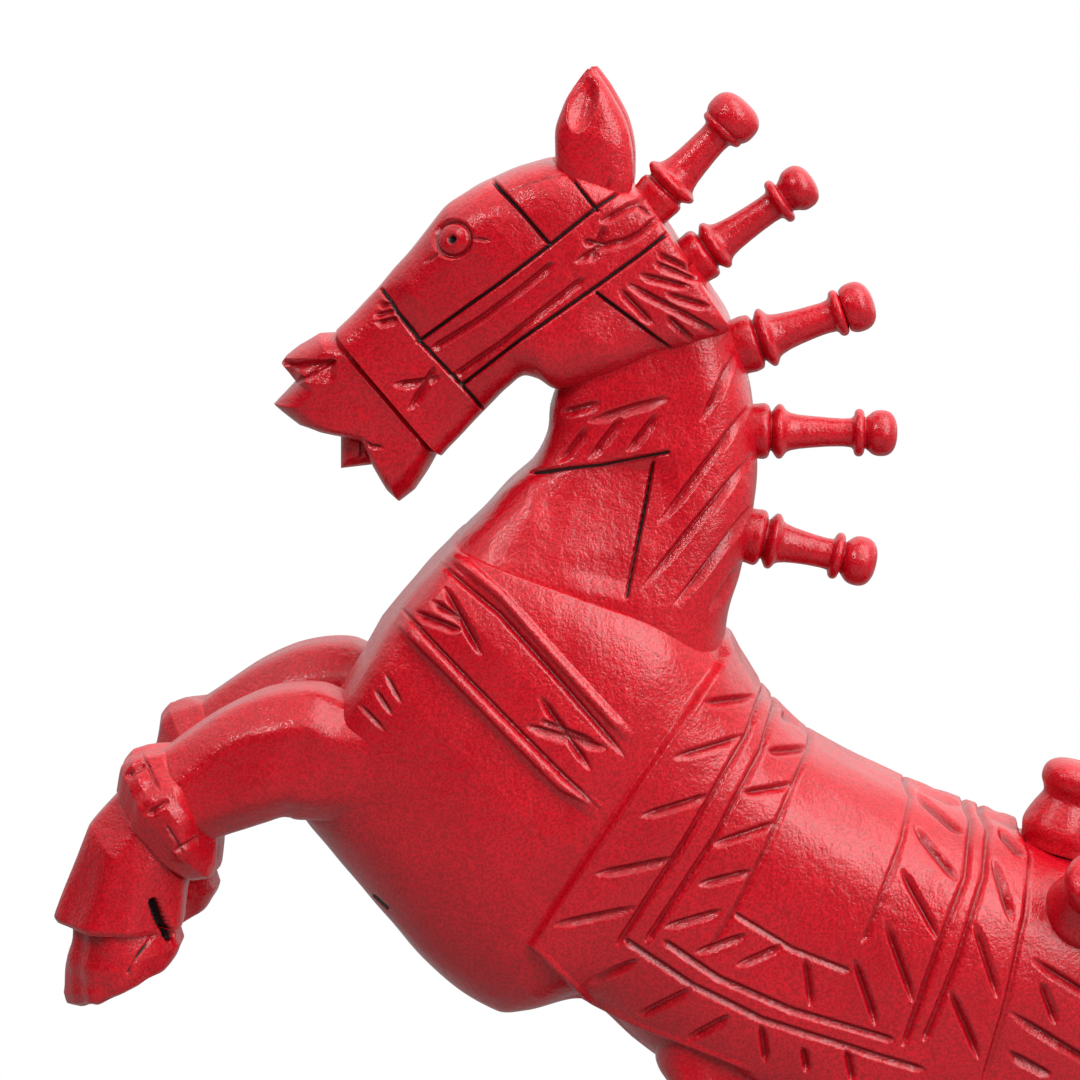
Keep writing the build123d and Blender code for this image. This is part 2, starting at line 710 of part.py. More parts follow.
top_knob_shares = (0.804, 0.026)
side_knob_shares = (0.852, -0.069)
side_knob_out_share = 0.340
pieces["croup_knob_top"] = croup_knob(trunk_point(*top_knob_shares), direction(knob_lean_angle), Vector(0, 1, 0))
tilt = math.radians(side_knob_tilt_angle)
for side, name in ((-1, "croup_knob_left"), (1, "croup_knob_right")):
    centre = trunk_point(*side_knob_shares) + Vector(0, side * side_knob_out_share * trunk_width, 0)
    axis = direction(knob_lean_angle) * math.cos(tilt) + Vector(0, side * math.sin(tilt), 0)
    pieces[name] = croup_knob(centre, axis, direction(knob_lean_angle - square_angle))

# Trunk with its flat, its bores and its spot faces
pieces["trunk"] = single(trunk_block - trunk_cuts)

for name, shape in pieces.items():
    export_step(shape, "parts/" + name + ".step")
whole = Compound(list(pieces.values())).bounding_box()
print("length %.1f width %.1f height %.1f" % (whole.size.X, whole.size.Y, whole.size.Z))
print("middle %.2f %.2f lowest %.3f" % (whole.center().X, whole.center().Y, whole.min.Z))
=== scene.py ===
import math

import bpy
import numpy as np
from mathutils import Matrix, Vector


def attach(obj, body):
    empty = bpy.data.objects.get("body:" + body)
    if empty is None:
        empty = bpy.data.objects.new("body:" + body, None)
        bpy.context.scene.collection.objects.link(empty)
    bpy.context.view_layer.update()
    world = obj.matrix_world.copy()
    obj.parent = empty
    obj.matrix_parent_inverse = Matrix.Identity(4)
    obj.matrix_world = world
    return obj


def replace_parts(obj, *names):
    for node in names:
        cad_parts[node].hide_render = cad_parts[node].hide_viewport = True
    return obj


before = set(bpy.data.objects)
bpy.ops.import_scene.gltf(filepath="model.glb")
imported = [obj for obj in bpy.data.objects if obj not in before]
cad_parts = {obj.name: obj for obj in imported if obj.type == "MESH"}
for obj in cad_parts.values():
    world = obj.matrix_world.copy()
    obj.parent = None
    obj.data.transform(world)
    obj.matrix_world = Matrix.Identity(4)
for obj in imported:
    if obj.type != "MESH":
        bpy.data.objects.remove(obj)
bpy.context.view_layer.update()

# Camera
# The photograph looks at the horse's left side, from a little above and a little behind the muzzle.
# Lengths here and below are in millimetres; the meshes are written in metres.
photo_size = 1080
photo_focal = 3500.0
sensor_width = 36.0
eye_azimuth, eye_elevation = math.radians(3.0), math.radians(9.0)
eye_distance = 1260.0
looked_at = np.array([-51.6, 0.0, 399.6])
towards_eye = np.array([math.sin(eye_azimuth) * math.cos(eye_elevation),
                        -math.cos(eye_azimuth) * math.cos(eye_elevation), math.sin(eye_elevation)])
eye = looked_at + towards_eye * eye_distance
picture_right = np.cross(-towards_eye, [0.0, 0.0, 1.0])
picture_right /= np.linalg.norm(picture_right)
picture_up = np.cross(picture_right, -towards_eye)
camera_data = bpy.data.cameras.new("camera")
camera_data.sensor_width = sensor_width
camera_data.lens = sensor_width * photo_focal / photo_size
camera_data.clip_start, camera_data.clip_end = 0.01, 50.0
camera = bpy.data.objects.new("camera", camera_data)
bpy.context.scene.collection.objects.link(camera)
camera.location = Vector(eye / 1000)
camera.rotation_mode = "QUATERNION"
camera.rotation_quaternion = Vector(-towards_eye).to_track_quat("-Z", "Y")
bpy.context.scene.camera = camera


def seen_at(points):
    """Photograph pixel of each point: the focal length times its place across and up, over its depth."""
    ray = points - eye
    depth = ray @ -towards_eye
    across = photo_size / 2 + photo_focal * (ray @ picture_right) / depth
    down = photo_size / 2 - photo_focal * (ray @ picture_up) / depth
    return across, down


def side_plane(pixels):
    """Place (x, z) in the plane of symmetry that each photograph pixel looks at: the ray cut by y = 0."""
    pixels = np.asarray(pixels, float)
    ray = (-towards_eye * photo_focal + (pixels[..., :1] - photo_size / 2) * picture_right
           - (pixels[..., 1:2] - photo_size / 2) * picture_up)
    hit = eye + ray * (-eye[1] / ray[..., 1:2])
    return hit[..., [0, 2]]


# Red paint
# Satin enamel brushed thickly over carved wood, with a stippled, orange-peel skin. Painted shade darkens the
# cuts and paints the saw cuts black. Every painted piece carries two measures of its carving for this, one
# for the saw cuts and one for the V cuts.


class Flow:
    """What a socket of a mixture gives. Adding and multiplying it makes the nodes that do so."""

    def __init__(self, mixture, socket):
        self.mixture, self.socket = mixture, socket

    def math(self, operation, other):
        return self.mixture.node("ShaderNodeMath", {"operation": operation}, {0: self, 1: other})

    def __add__(self, other):
        return self.math("ADD", other)

    def __mul__(self, other):
        return self.math("MULTIPLY", other)

    __radd__, __rmul__ = __add__, __mul__

    def between(self, low, high):
        """0 up to low, 1 from high on and smooth in between; low may be the greater one."""
        return self.mixture.node("ShaderNodeMapRange", {"interpolation_type": "SMOOTHSTEP"},
                                 {"Value": self, "From Min": low, "From Max": high}, output="Result")


class Mixture:
    """A material's nodes, each made by one call with its settings and inputs."""

    def __init__(self, material):
        material.use_nodes = True
        self.tree = material.node_tree
        self.tree.nodes.clear()

    def node(self, kind, settings=(), inputs=(), output=0):
        node = self.tree.nodes.new(kind)
        for name, value in dict(settings).items():
            setattr(node, name, value)
        for name, value in dict(inputs).items():
            if isinstance(value, Flow):
                self.tree.links.new(value.socket, node.inputs[name])
            else:
                node.inputs[name].default_value = value
        return Flow(self, node.outputs[output]) if len(node.outputs) else None

    def measure(self, name):
        return self.node("ShaderNodeAttribute", {"attribute_name": name}, output="Fac")

    def noise(self, place, scale, detail, roughness=0.55):
        return self.node("ShaderNodeTexNoise", inputs={"Vector": place, "Scale": scale, "Detail": detail,
                                                       "Roughness": roughness}, output="Fac")

    def colours(self, share, low, high):
        """low where the share is 0 and high where it is 1; each is three numbers or another node's colour."""
        low, high = (end if isinstance(end, Flow) else (*end, 1.0) for end in (low, high))
        return self.node("ShaderNodeMix", {"data_type": "RGBA"}, {0: share, 6: low, 7: high}, output=2)


plain_red, light_red = (0.52, 0.002, 0.011), (0.63, 0.004, 0.015)
# The last two colours here are painted shade: dark red for the V cuts and turned grooves, near black for the
# saw cuts
speck_red, groove_shade_red, saw_shadow_black = (0.26, 0.001, 0.005), (0.15, 0.000, 0.002), (0.012, 0.001, 0.001)
streak_stretch, streak_turn = (1.0, 1.0, 0.25), (0.0, 0.6, 0.0)
skin_height = 0.00036
red_paint = bpy.data.materials.new("red_paint")
mix = Mixture(red_paint)
place = mix.node("ShaderNodeTexCoord", output="Object")
grain = mix.node("ShaderNodeMapping", inputs={"Vector": place, "Scale": streak_stretch,
                                             "Rotation": streak_turn})
# 1 in the saw cuts: the mask for their painted black shadow, and for rougher paint there
saw = mix.measure("saw").between(2.1, 1.1)
groove_shade = mix.measure("groove_shade")
patches = mix.noise(place, scale=28.0, detail=3.0)
streaks = mix.noise(grain, scale=240.0, detail=2.0)
stipple = mix.noise(place, scale=1050.0, detail=2.0, roughness=0.6)
peel = mix.noise(place, scale=330.0, detail=3.0)
dents = mix.noise(place, scale=70.0, detail=2.0)
tone = mix.colours(patches.between(0.3, 0.7), plain_red, light_red)
tone = mix.colours(stipple.between(0.62, 0.36) * 0.62, tone, speck_red)
# Painted shade: darker red in the V cuts, the eye ring, the tail's strands and the turned grooves
tone = mix.colours(groove_shade * 0.80, tone, groove_shade_red)
# Painted shadow: near black in the saw cuts, the cracks, the hoof's split and the drilled eye
tone = mix.colours(saw, tone, saw_shadow_black)
relief = stipple * 0.55 + peel * 0.8 + streaks * 0.5 + dents * 1.6
bump = mix.node("ShaderNodeBump", inputs={"Height": relief, "Strength": 1.0, "Distance": skin_height},
                output="Normal")
gloss = 0.10 + stipple * 0.16 + peel * 0.06 + saw * 0.30
surface = mix.node("ShaderNodeBsdfPrincipled",
                   inputs={"Base Color": tone, "Roughness": gloss, "Normal": bump}, output="BSDF")
mix.node("ShaderNodeOutputMaterial", inputs={"Surface": surface})

# Trunk
# One broad block of wood, slab-sided and nose up, carved to a barrel with a chest and a rump. The breast band,
# the saddle blanket, its borders and the rump harness are cut in it with a saw, a V tool and a knife.


def filled(table, count, straight=0.0):
    """Rows evenly spaced along a form, on the Hermite curve through the table's rows with chord slopes.

    straight is the share of the way from that curve to the straight lines between the rows."""
    table = np.asarray(table, float)
    steps = 0.5 * (np.linalg.norm(np.diff(table[:, 0:2], axis=0), axis=1)
                   + np.linalg.norm(np.diff(table[:, 2:4], axis=0), axis=1))
    station = np.r_[0.0, np.cumsum(steps)]
    slope = np.empty_like(table)
    slope[1:-1] = (table[2:] - table[:-2]) / (station[2:] - station[:-2])[:, None]
    slope[0] = (table[1] - table[0]) / steps[0]
    slope[-1] = (table[-1] - table[-2]) / steps[-1]
    at = np.linspace(0.0, station[-1], count)
    low = np.clip(np.searchsorted(station, at, side="right") - 1, 0, len(station) - 2)
    run = (station[low + 1] - station[low])[:, None]
    t = (at - station[low])[:, None] / run
    blend = t * t * (3 - 2 * t)
    curved = (table[low] * (1 - blend) + table[low + 1] * blend
              + slope[low] * run * t * (1 - t) ** 2 - slope[low + 1] * run * t * t * (1 - t))
    return curved * (1 - straight) + (table[low] * (1 - t) + table[low + 1] * t) * straight


def rounded(rows, count, middle=0.0):
    """Points round each row's section, spaced by length, about twice as closely on the flanks.

    A row is (upper x, z, lower x, z, half width, upper and lower power, upper and lower chamfer). In the
    direction (c, s) its section lies (|c/H|^p + |s/R|^p + ((|c| + |s|)/(H + R - chamfer))^p)^(-1/p) from its
    middle, with H the half width, R the half height and p the power; a chamfer of 0 leaves that term out."""
    angle = np.linspace(0.5 * np.pi, 2.5 * np.pi, 4 * 360 + 1)
    c, s = np.abs(np.cos(angle)), np.abs(np.sin(angle))
    above = np.sin(angle) >= 0
    upper, lower, half = rows[:, None, 0:2], rows[:, None, 2:4], rows[:, 4:5]
    centre, reach = (upper + lower) / 2, (upper - lower) / 2
    height = np.linalg.norm(reach, axis=2)
    power = np.where(above, rows[:, 5:6], rows[:, 6:7])
    chamfer = np.where(above, rows[:, 7:8], rows[:, 8:9])
    corner = np.where(chamfer > 0, (c + s) / np.maximum(half + height - chamfer, 1e-3), 0.0)
    distance = ((c / half) ** power + (s / height) ** power + corner ** power) ** (-1 / power)
    out = -distance * np.cos(angle)
    up = distance * np.sin(angle)
    flank_share, spacing_above = 0.8, 0.5
    crowding = np.where(np.abs(out[:, 1:]) > flank_share * half, 1.0, spacing_above)
    length = np.concatenate([np.zeros((len(rows), 1)),
                             np.cumsum(np.hypot(np.diff(out), np.diff(up)) * crowding, axis=1)], axis=1)
    share = np.arange(count) / count
    points = np.empty((len(rows), count, 3))
    for n in range(len(rows)):
        y = np.interp(share * length[n, -1], length[n], out[n])
        w = np.interp(share * length[n, -1], length[n], up[n]) / height[n, 0]
        points[n, :, 0] = centre[n, 0, 0] + reach[n, 0, 0] * w
        points[n, :, 1] = middle + y
        points[n, :, 2] = centre[n, 0, 1] + reach[n, 0, 1] * w
    return points


def grid_normals(points):
    """Unit normals of a grid that closes round its second direction: along crossed with around."""
    along = np.gradient(points, axis=0)
    around = np.roll(points, -1, axis=1) - np.roll(points, 1, axis=1)
    normal = np.cross(along, around)
    normal /= np.maximum(np.linalg.norm(normal, axis=2, keepdims=True), 1e-12)
    middle = points.mean(axis=1, keepdims=True)
    if np.sum((points - middle) * normal) < 0:
        normal = -normal
    return normal


far_from_saw = 9.0


def cos_sin(degrees):
    """Cosine and sine of an angle in degrees."""
    return math.cos(math.radians(degrees)), math.sin(math.radians(degrees))


def faded(share, taper):
    """1 along a line, falling evenly to 0 over the taper's share of it at each end."""
    return np.minimum(1.0, np.minimum(share, 1 - share) / taper)


class Form:
    """A carved form. Its cuts follow lines read off the photograph, and the far side mirrors the near one.

    A line is its corners' pixels in a row. Widths, runs and radii are in pixels too, depths and heights in
    millimetres. lift is how high a place stands, cut how deep it is cut, saw the pixels to the nearest saw cut,
    painted black inside as its shadow, and the groove shade, painted shade, is 1 in the bottom of a V cut.
    shown falls to 0 where the form turns away from the eye."""

    shadow_way = (0.6, 0.8)

    def __init__(self, points):
        self.points = points
        self.normals = grid_normals(points)
        flip = np.where(points[..., 1:2] > 0, -1.0, 1.0) * [0, 1, 0] + [1, 0, 1]
        near = points * flip
        self.u, self.v = seen_at(near)
        ray = eye - near
        facing = np.sum(self.normals * flip * ray, axis=2) / np.linalg.norm(ray, axis=2)
        self.shown = np.clip((facing - 0.01) / 0.10, 0, 1)
        shape = points.shape[:2]
        self.lift, self.cut, self.groove_shade = np.zeros(shape), np.zeros(shape), np.zeros(shape)
        self.saw = np.full(shape, far_from_saw)

    def near_line(self, line, reach):
        """For the points within reach of a line: their places in the grid, distance from it, share of the way
        along it, side of it, and how far they lie on its shadow side, from -1 to 1."""
        line = np.reshape(np.asarray(line, float), (-1, 2))
        low, high = line.min(0) - reach, line.max(0) + reach
        found = np.nonzero((self.u > low[0]) & (self.u < high[0]) & (self.v > low[1]) & (self.v < high[1]))
        run = np.linalg.norm(np.diff(line, axis=0), axis=1)[:, None]
        before = np.r_[0.0, np.cumsum(run)]
        du, dv = (np.diff(line, axis=0) / run).T[..., None]
        from_u, from_v = self.u[found] - line[:-1, :1], self.v[found] - line[:-1, 1:]
        along = np.clip(from_u * du + from_v * dv, 0, run)
        out_u, out_v = from_u - along * du, from_v - along * dv
        away = np.hypot(out_u, out_v)
        share = (before[:-1, None] + along) / before[-1]
        side = du * from_v - dv * from_u
        below = (self.shadow_way[0] * out_u + self.shadow_way[1] * out_v) / np.maximum(away, 1e-6)
        nearest = away.argmin(axis=0), np.arange(away.shape[1])
        keep = away[nearest] < reach
        picked = (value[nearest][keep] for value in (away, share, side, below))
        return tuple(place[keep] for place in found), *picked

    def grooves(self, lines, width, depth, taper=0.2, lean=0.45):
        """V cuts: depth times 1 - distance / reach of the wall, narrower and shallower towards tapered ends.

        The wall reaches half the width times 1 + lean on the shadow side and 1 - lean on the other, and a tip
        keeps a share of that. The painted shade is darkest in the bottom and on the wall that the light misses."""
        tip = 0.35
        for line in lines:
            found, away, share, _, below = self.near_line(line, width * 0.75)
            end = faded(share, taper) ** 0.6
            reach = width / 2 * (1 + lean * np.clip(2.5 * below, -1, 1)) * (tip + (1 - tip) * end)
            amount = np.clip(1 - away / reach, 0, 1) * end * self.shown[found]
            self.cut[found] = np.maximum(self.cut[found], depth * amount)
            dark = np.clip(1.5 * amount - 0.35, 0, 1) * np.clip(1 - 0.55 * below, 0, 1)
            self.groove_shade[found] = np.maximum(self.groove_shade[found], dark)

    def saw_cuts(self, lines, depth=1.8, width=4.4, thin=0.0):
        """Narrow cuts of a saw: round-bottomed, full depth all along, and painted black inside as their shadow.

        thin takes pixels off each side of the painted shadow, in waves along the cut, as where paint has filled
        it."""
        for line in lines:
            found, away, share, _, _ = self.near_line(line, far_from_saw)
            filling = thin * (0.6 + 0.5 * np.sin(share * 9 + 1))
            black = away + filling + far_from_saw * (1 - self.shown[found])
            self.saw[found] = np.minimum(self.saw[found], black)
            amount = np.clip(1 - (away / (width / 2)) ** 2, 0, 1) * self.shown[found]
            self.cut[found] = np.maximum(self.cut[found], depth * amount)

    def step(self, line, depth, run, edge=2.5, side=1):
        """Ground cut away on one side of a line: full depth at the line, rising back evenly over the run."""
        found, away, share, cross, _ = self.near_line(line, run)
        signed = np.where(cross * side > 0, away, -away)
        fall = np.clip(1 - signed / run, 0, 1) * np.clip(0.5 + signed / edge, 0, 1)
        self.lift[found] -= depth * fall * faded(share, 0.12) * self.shown[found]

    def ridge(self, line, width, height):
        """Rounded ridge along a line: height times 1 - (distance / half the width)^2, lower at its ends."""
        found, away, share, _, _ = self.near_line(line, width / 2)
        arch = 1 - (away / (width / 2)) ** 2
        self.lift[found] += height * arch * faded(share, 0.1) * self.shown[found]

    def raised(self, outline, height, edge):
        """Part inside an outline that stands higher, with a bevelled edge."""
        line = np.asarray(list(outline) + [outline[0]], float)
        inside = np.zeros(self.u.shape, bool)
        for (u0, v0), (u1, v1) in zip(line, line[1:]):
            if v0 != v1:
                edge_u = (u1 - u0) * (self.v - v0) / (v1 - v0) + u0
                inside ^= ((v0 > self.v) != (v1 > self.v)) & (self.u < edge_u)
        amount = inside.astype(float)
        found, away, _, _, _ = self.near_line(line, edge)
        amount[found] = 0.5 + np.where(inside[found], 0.5, -0.5) * away / edge
        self.lift += height * amount * amount * (3 - 2 * amount)

    def ring(self, centre, radius, width, depth):
        """Circular V cut round a centre; with no radius, a pit."""
        away = np.abs(np.hypot(self.u - centre[0], self.v - centre[1]) - radius)
        amount = np.clip(1 - away / (width / 2), 0, 1) * self.shown
        self.cut = np.maximum(self.cut, depth * amount)
        # Painted shade in the bottom of the ring or pit
        self.groove_shade = np.maximum(self.groove_shade, np.clip(1.5 * amount - 0.3, 0, 1))

    def dome(self, centre, radius, height):
        """Low dome: height times 1 - (distance / radius)^2."""
        r = np.hypot(self.u - centre[0], self.v - centre[1]) / radius
        self.lift += height * np.clip(1 - r * r, 0, 1) * self.shown

    def hollow(self, centre, long, short, turn, depth):
        """Scooped dish with an oval outline: depth times 1 - r^2.2, with r 1 on the oval.

        long and short are the oval's half lengths, and the long one is turned from the picture's vertical."""
        c, s = cos_sin(turn)
        du, dv = self.u - centre[0], self.v - centre[1]
        r = np.hypot((du * c + dv * s) / short, (dv * c - du * s) / long)
        self.lift -= depth * np.clip(1 - r ** 2.2, 0, 1) * self.shown

    def hand_carved(self, size, depth, seed):
        """Slow waves of a hand-held tool: depth times the mean of eight sines in seeded directions."""
        chance = np.random.default_rng(seed)
        waves = np.zeros(self.lift.shape)
        for _ in range(8):
            direction = chance.normal(size=3)
            direction /= np.linalg.norm(direction)
            waves += np.sin(self.points @ direction * (2 * np.pi / (size * chance.uniform(0.6, 1.6)))
                            + chance.uniform(0, 6.3))
        self.lift += depth * waves / 4

    def meshed(self, name, rows=(0, None), mirror=False, move=(0.0, 0.0, 0.0)):
        """The form, or some of its rows, as a closed mesh; each end is closed by a fan to its middle."""
        points = self.points + self.normals * (self.lift - self.cut)[..., None]
        pick = slice(*rows)
        points, normals = points[pick] + np.asarray(move), grid_normals(points)[pick]
        saw, groove_shade = self.saw[pick], self.groove_shade[pick]
        if mirror:
            points, normals = points * [1, -1, 1], normals * [1, -1, 1]
        count, around = points.shape[:2]
        ends = np.stack([points[0].mean(0), points[-1].mean(0)])
        outward = np.stack([ends[0] - points[3].mean(0), ends[1] - points[-4].mean(0)])
        outward /= np.linalg.norm(outward, axis=1, keepdims=True)
        corner = np.arange(count * around).reshape(count, around)
        ahead = np.roll(corner, -1, axis=1)
        quads = np.stack([corner[:-1], ahead[:-1], ahead[1:], corner[1:]], axis=-1).reshape(-1, 4)
        first, last = count * around, count * around + 1
        start = np.stack([np.full(around, first), ahead[0], corner[0]], axis=-1)
        stop = np.stack([np.full(around, last), corner[-1], ahead[-1]], axis=-1)
        verts = np.concatenate([points.reshape(-1, 3), ends])
        a, b, c = (verts[quads[len(quads) // 2, k]] for k in range(3))
        if np.dot(np.cross(b - a, c - b), normals.reshape(-1, 3)[quads[len(quads) // 2, 0]]) < 0:
            quads, start, stop = quads[:, ::-1], start[:, ::-1], stop[:, ::-1]
        all_normals = np.concatenate([normals.reshape(-1, 3), outward])
        measures = {"saw": np.r_[saw.ravel(), far_from_saw, far_from_saw],
                    "groove_shade": np.r_[groove_shade.ravel(), 0.0, 0.0]}
        return write_mesh(name, verts, [quads, start, stop], measures, all_normals)


def write_mesh(name, verts, face_groups, measures, normals):
    """A mesh object from arrays, in the red paint, riding on the one body."""
    mesh = bpy.data.meshes.new(name)
    loops = np.concatenate([g.ravel() for g in face_groups]).astype(np.int32)
    sizes = np.concatenate([np.full(len(g), g.shape[1]) for g in face_groups]).astype(np.int32)
    mesh.vertices.add(len(verts))
    mesh.vertices.foreach_set("co", (verts / 1000).astype(np.float32).ravel())
    mesh.loops.add(len(loops))
    mesh.loops.foreach_set("vertex_index", loops)
    mesh.polygons.add(len(sizes))
    mesh.polygons.foreach_set("loop_start", np.r_[0, np.cumsum(sizes)[:-1]].astype(np.int32))
    mesh.polygons.foreach_set("loop_total", sizes)
    mesh.polygons.foreach_set("use_smooth", np.ones(len(sizes), bool))
    for key, values in measures.items():
        mesh.attributes.new(key, "FLOAT", "POINT").data.foreach_set("value", values.astype(np.float32))
    mesh.update()
    mesh.validate()
    mesh.normals_split_custom_set_from_vertices(normals.astype(np.float32))
    mesh.materials.append(red_paint)
    piece = bpy.data.objects.new(name, mesh)
    bpy.context.scene.collection.objects.link(piece)
    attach(piece, "root")
    return piece


def slope_point(origin, degrees, along, across):
    """Place (x, z) at a distance along a sloping line and across it."""
    c, s = cos_sin(degrees)
    return origin[0] + c * along - s * across, origin[1] + s * along + c * across


withers = (18.8, 360.0)
trunk_slope, trunk_length, trunk_depth, trunk_half = -31.0, 308.0, 150.0, 53.0
chest_ahead = 112.3
chest_face = slope_point(withers, trunk_slope, -chest_ahead, 0.0)
# Along, upper edge, lower edge, width, then the section's powers above and below
trunk_shares = [
    (-0.008, -0.380, -0.580, 0.34, 2.6, 2.6),
    (0.000, -0.260, -0.700, 0.62, 2.6, 2.6),
    (0.010, -0.160, -0.820, 0.80, 2.8, 2.8),
    (0.032, -0.020, -0.878, 0.90, 3.0, 2.8),
    (0.085, 0.030, -0.918, 0.95, 3.2, 2.8),
    (0.180, 0.065, -0.990, 0.98, 3.3, 2.8),
    (0.270, 0.070, -1.044, 1.00, 3.2, 2.8),
    (0.345, 0.012, -1.046, 1.00, 3.1, 2.8),
    (0.372, -0.020, -1.008, 1.00, 3.0, 2.8),
    (0.425, -0.070, -0.908, 0.98, 2.9, 2.8),
    (0.500, -0.102, -0.928, 0.98, 2.9, 2.8),
    (0.620, -0.082, -0.950, 1.00, 2.9, 2.8),
    (0.740, -0.036, -0.955, 1.02, 2.9, 2.8),
    (0.800, -0.014, -0.955, 1.01, 2.9, 2.8),
    (0.850, 0.000, -0.945, 0.99, 2.9, 2.8),
    (0.920, -0.030, -0.890, 0.93, 2.8, 2.7),
    (0.970, -0.145, -0.790, 0.78, 2.6, 2.5),
    (0.997, -0.290, -0.640, 0.54, 2.4, 2.4),
    (1.008, -0.390, -0.540, 0.30, 2.2, 2.2),
]
rows = []
for along, upper, lower, width, power_up, power_down in trunk_shares:
    top = slope_point(chest_face, trunk_slope, trunk_length * along, trunk_depth * upper)
    bottom = slope_point(chest_face, trunk_slope, trunk_length * along, trunk_depth * lower)
    rows.append((*top, *bottom, width * trunk_half, power_up, power_down, 0.0, 0.0))
trunk_table = filled(rows, count=590)
trunk_points = rounded(trunk_table, count=660)

# The flat that the neck is glued on: what would stand above it is pressed down to it
seat_cos, seat_sin = cos_sin(-19.7)
seat_margin, seat_fade = 2.0, 6.0
seat_rear = slope_point(withers, trunk_slope, along=-6.0, across=4.5)
seat_up = np.array([-seat_sin, 0.0, seat_cos])
above = (trunk_points - [seat_rear[0], 0.0, seat_rear[1]]) @ seat_up
ahead = np.clip((seat_rear[0] + seat_margin - trunk_points[..., 0]) / seat_fade, 0, 1)
trunk_points -= (np.clip(above, 0, None) * ahead)[..., None] * seat_up
trunk = Form(trunk_points)
trunk.hand_carved(size=26, depth=0.28, seed=3)

# Breast band: a flat strip across the shoulder, sunk between two ridges, with crossed knife cuts
band_upper_edge = (447, 556, 500, 600, 560, 668, 630, 745)
band_lower_edge = (393, 622, 440, 668, 500, 730, 560, 790, 604, 812)
band_upper_ridge = (446, 549, 500, 596, 560, 664, 632, 742)
band_lower_ridge = (399, 622, 440, 664, 500, 727, 560, 787, 603, 816)
band_upper_line = (440, 562, 498, 611, 560, 681, 626, 757)
band_lower_line = (401, 608, 440, 650, 500, 712, 560, 772, 602, 812)
band_crosses = [
    (443, 586, 481, 655), (415, 611, 462, 630), (539, 696, 591, 770), (527, 725, 607, 748),
    (432, 600, 470, 624), (540, 720, 596, 742),
]
shoulder_nicks = [(384, 672, 402, 704), (374, 688, 393, 716), (359, 704, 386, 732)]
trunk.step(band_upper_edge, depth=1.5, run=34, edge=3.5)
trunk.step(band_lower_edge, depth=2.2, run=46, edge=4)
trunk.ridge(band_upper_ridge, width=15, height=1.3)
trunk.ridge(band_lower_ridge, width=19, height=1.6)
trunk.grooves([band_upper_line], width=9, depth=1.7, taper=0.08)
trunk.grooves([band_lower_line], width=8, depth=1.4, taper=0.08)
trunk.grooves(band_crosses, width=12, depth=2.5)
trunk.grooves(shoulder_nicks, width=7.5, depth=1.3, taper=0.3, lean=0)

# Saddle blanket: stands a little above the coat, from behind the withers to the croup
blanket = [
    (716, 600), (722, 658), (690, 708), (530, 945), (583, 995), (640, 1025), (700, 1050), (750, 1075),
    (860, 1118), (972, 1140), (981, 1080), (1004, 1001), (1022, 917), (1028, 858), (1012, 820), (1010, 740),
]
blanket_front_ridge = (718, 664, 690, 708, 610, 826, 534, 940)
blanket_lower_ridge = (534, 942, 583, 990, 640, 1020, 700, 1045, 760, 1070)
blanket_front_edge = (722, 656, 690, 708, 530, 945)
blanket_lower_edge = (530, 945, 583, 992, 640, 1022, 700, 1046, 760, 1072)
blanket_rear_line = (1012, 812, 1028, 858, 1022, 917, 1004, 1001, 981, 1080)
border_double_lines = [
    (758, 690, 742, 737, 683, 840, 616, 943),
    (772, 700, 757, 752, 713, 837, 645, 940),
    (622, 934, 692, 981, 763, 1016, 880, 1054, 925, 1067),
    (663, 937, 719, 975, 792, 1007, 895, 1038),
    (950, 780, 968, 827, 963, 879, 938, 942, 902, 1044),
    (966, 790, 985, 835, 981, 879, 955, 960, 922, 1039),
]
border_inner_lines = [
    (809, 722, 803, 755, 786, 793, 763, 849, 733, 908, 704, 954),
    (733, 910, 792, 946, 851, 969),
    (890, 765, 907, 802, 899, 843, 876, 904, 861, 942),
]
border_cuts = [
    (700, 703, 748, 699), (672, 756, 739, 737), (640, 814, 708, 793), (595, 872, 675, 855),
    (554, 922, 636, 904), (776, 718, 800, 727), (763, 753, 804, 752), (739, 793, 790, 786),
    (710, 843, 774, 822), (698, 882, 751, 869), (664, 924, 722, 908), (695, 950, 746, 932),
    (736, 963, 782, 943), (587, 976, 639, 956), (642, 1010, 692, 985), (689, 1034, 730, 1012),
    (760, 1022, 766, 1060), (802, 1045, 807, 1069), (845, 1048, 852, 1080), (804, 957, 810, 1004),
    (910, 787, 958, 810), (913, 800, 961, 840), (911, 830, 955, 884), (899, 871, 938, 940),
    (884, 922, 913, 1001), (853, 958, 876, 1024), (981, 812, 1022, 835), (995, 835, 1022, 862),
    (989, 863, 1009, 924), (972, 924, 996, 996), (948, 988, 978, 1057),
]
trunk.raised(blanket, height=2.8, edge=4)
trunk.ridge(blanket_front_ridge, width=9, height=0.7)
trunk.ridge(blanket_lower_ridge, width=9, height=0.8)
trunk.step(blanket_front_edge, depth=1.4, run=46, edge=4)
trunk.step(blanket_lower_edge, depth=1.6, run=34, edge=4)
trunk.grooves(border_double_lines, width=9, depth=1.9, taper=0.03, lean=0.25)
trunk.grooves(border_inner_lines, width=8, depth=1.25, taper=0.04)
trunk.grooves(border_cuts, width=11, depth=2.3, taper=0.22)
trunk.grooves([blanket_rear_line], width=8, depth=1.2, taper=0.04)

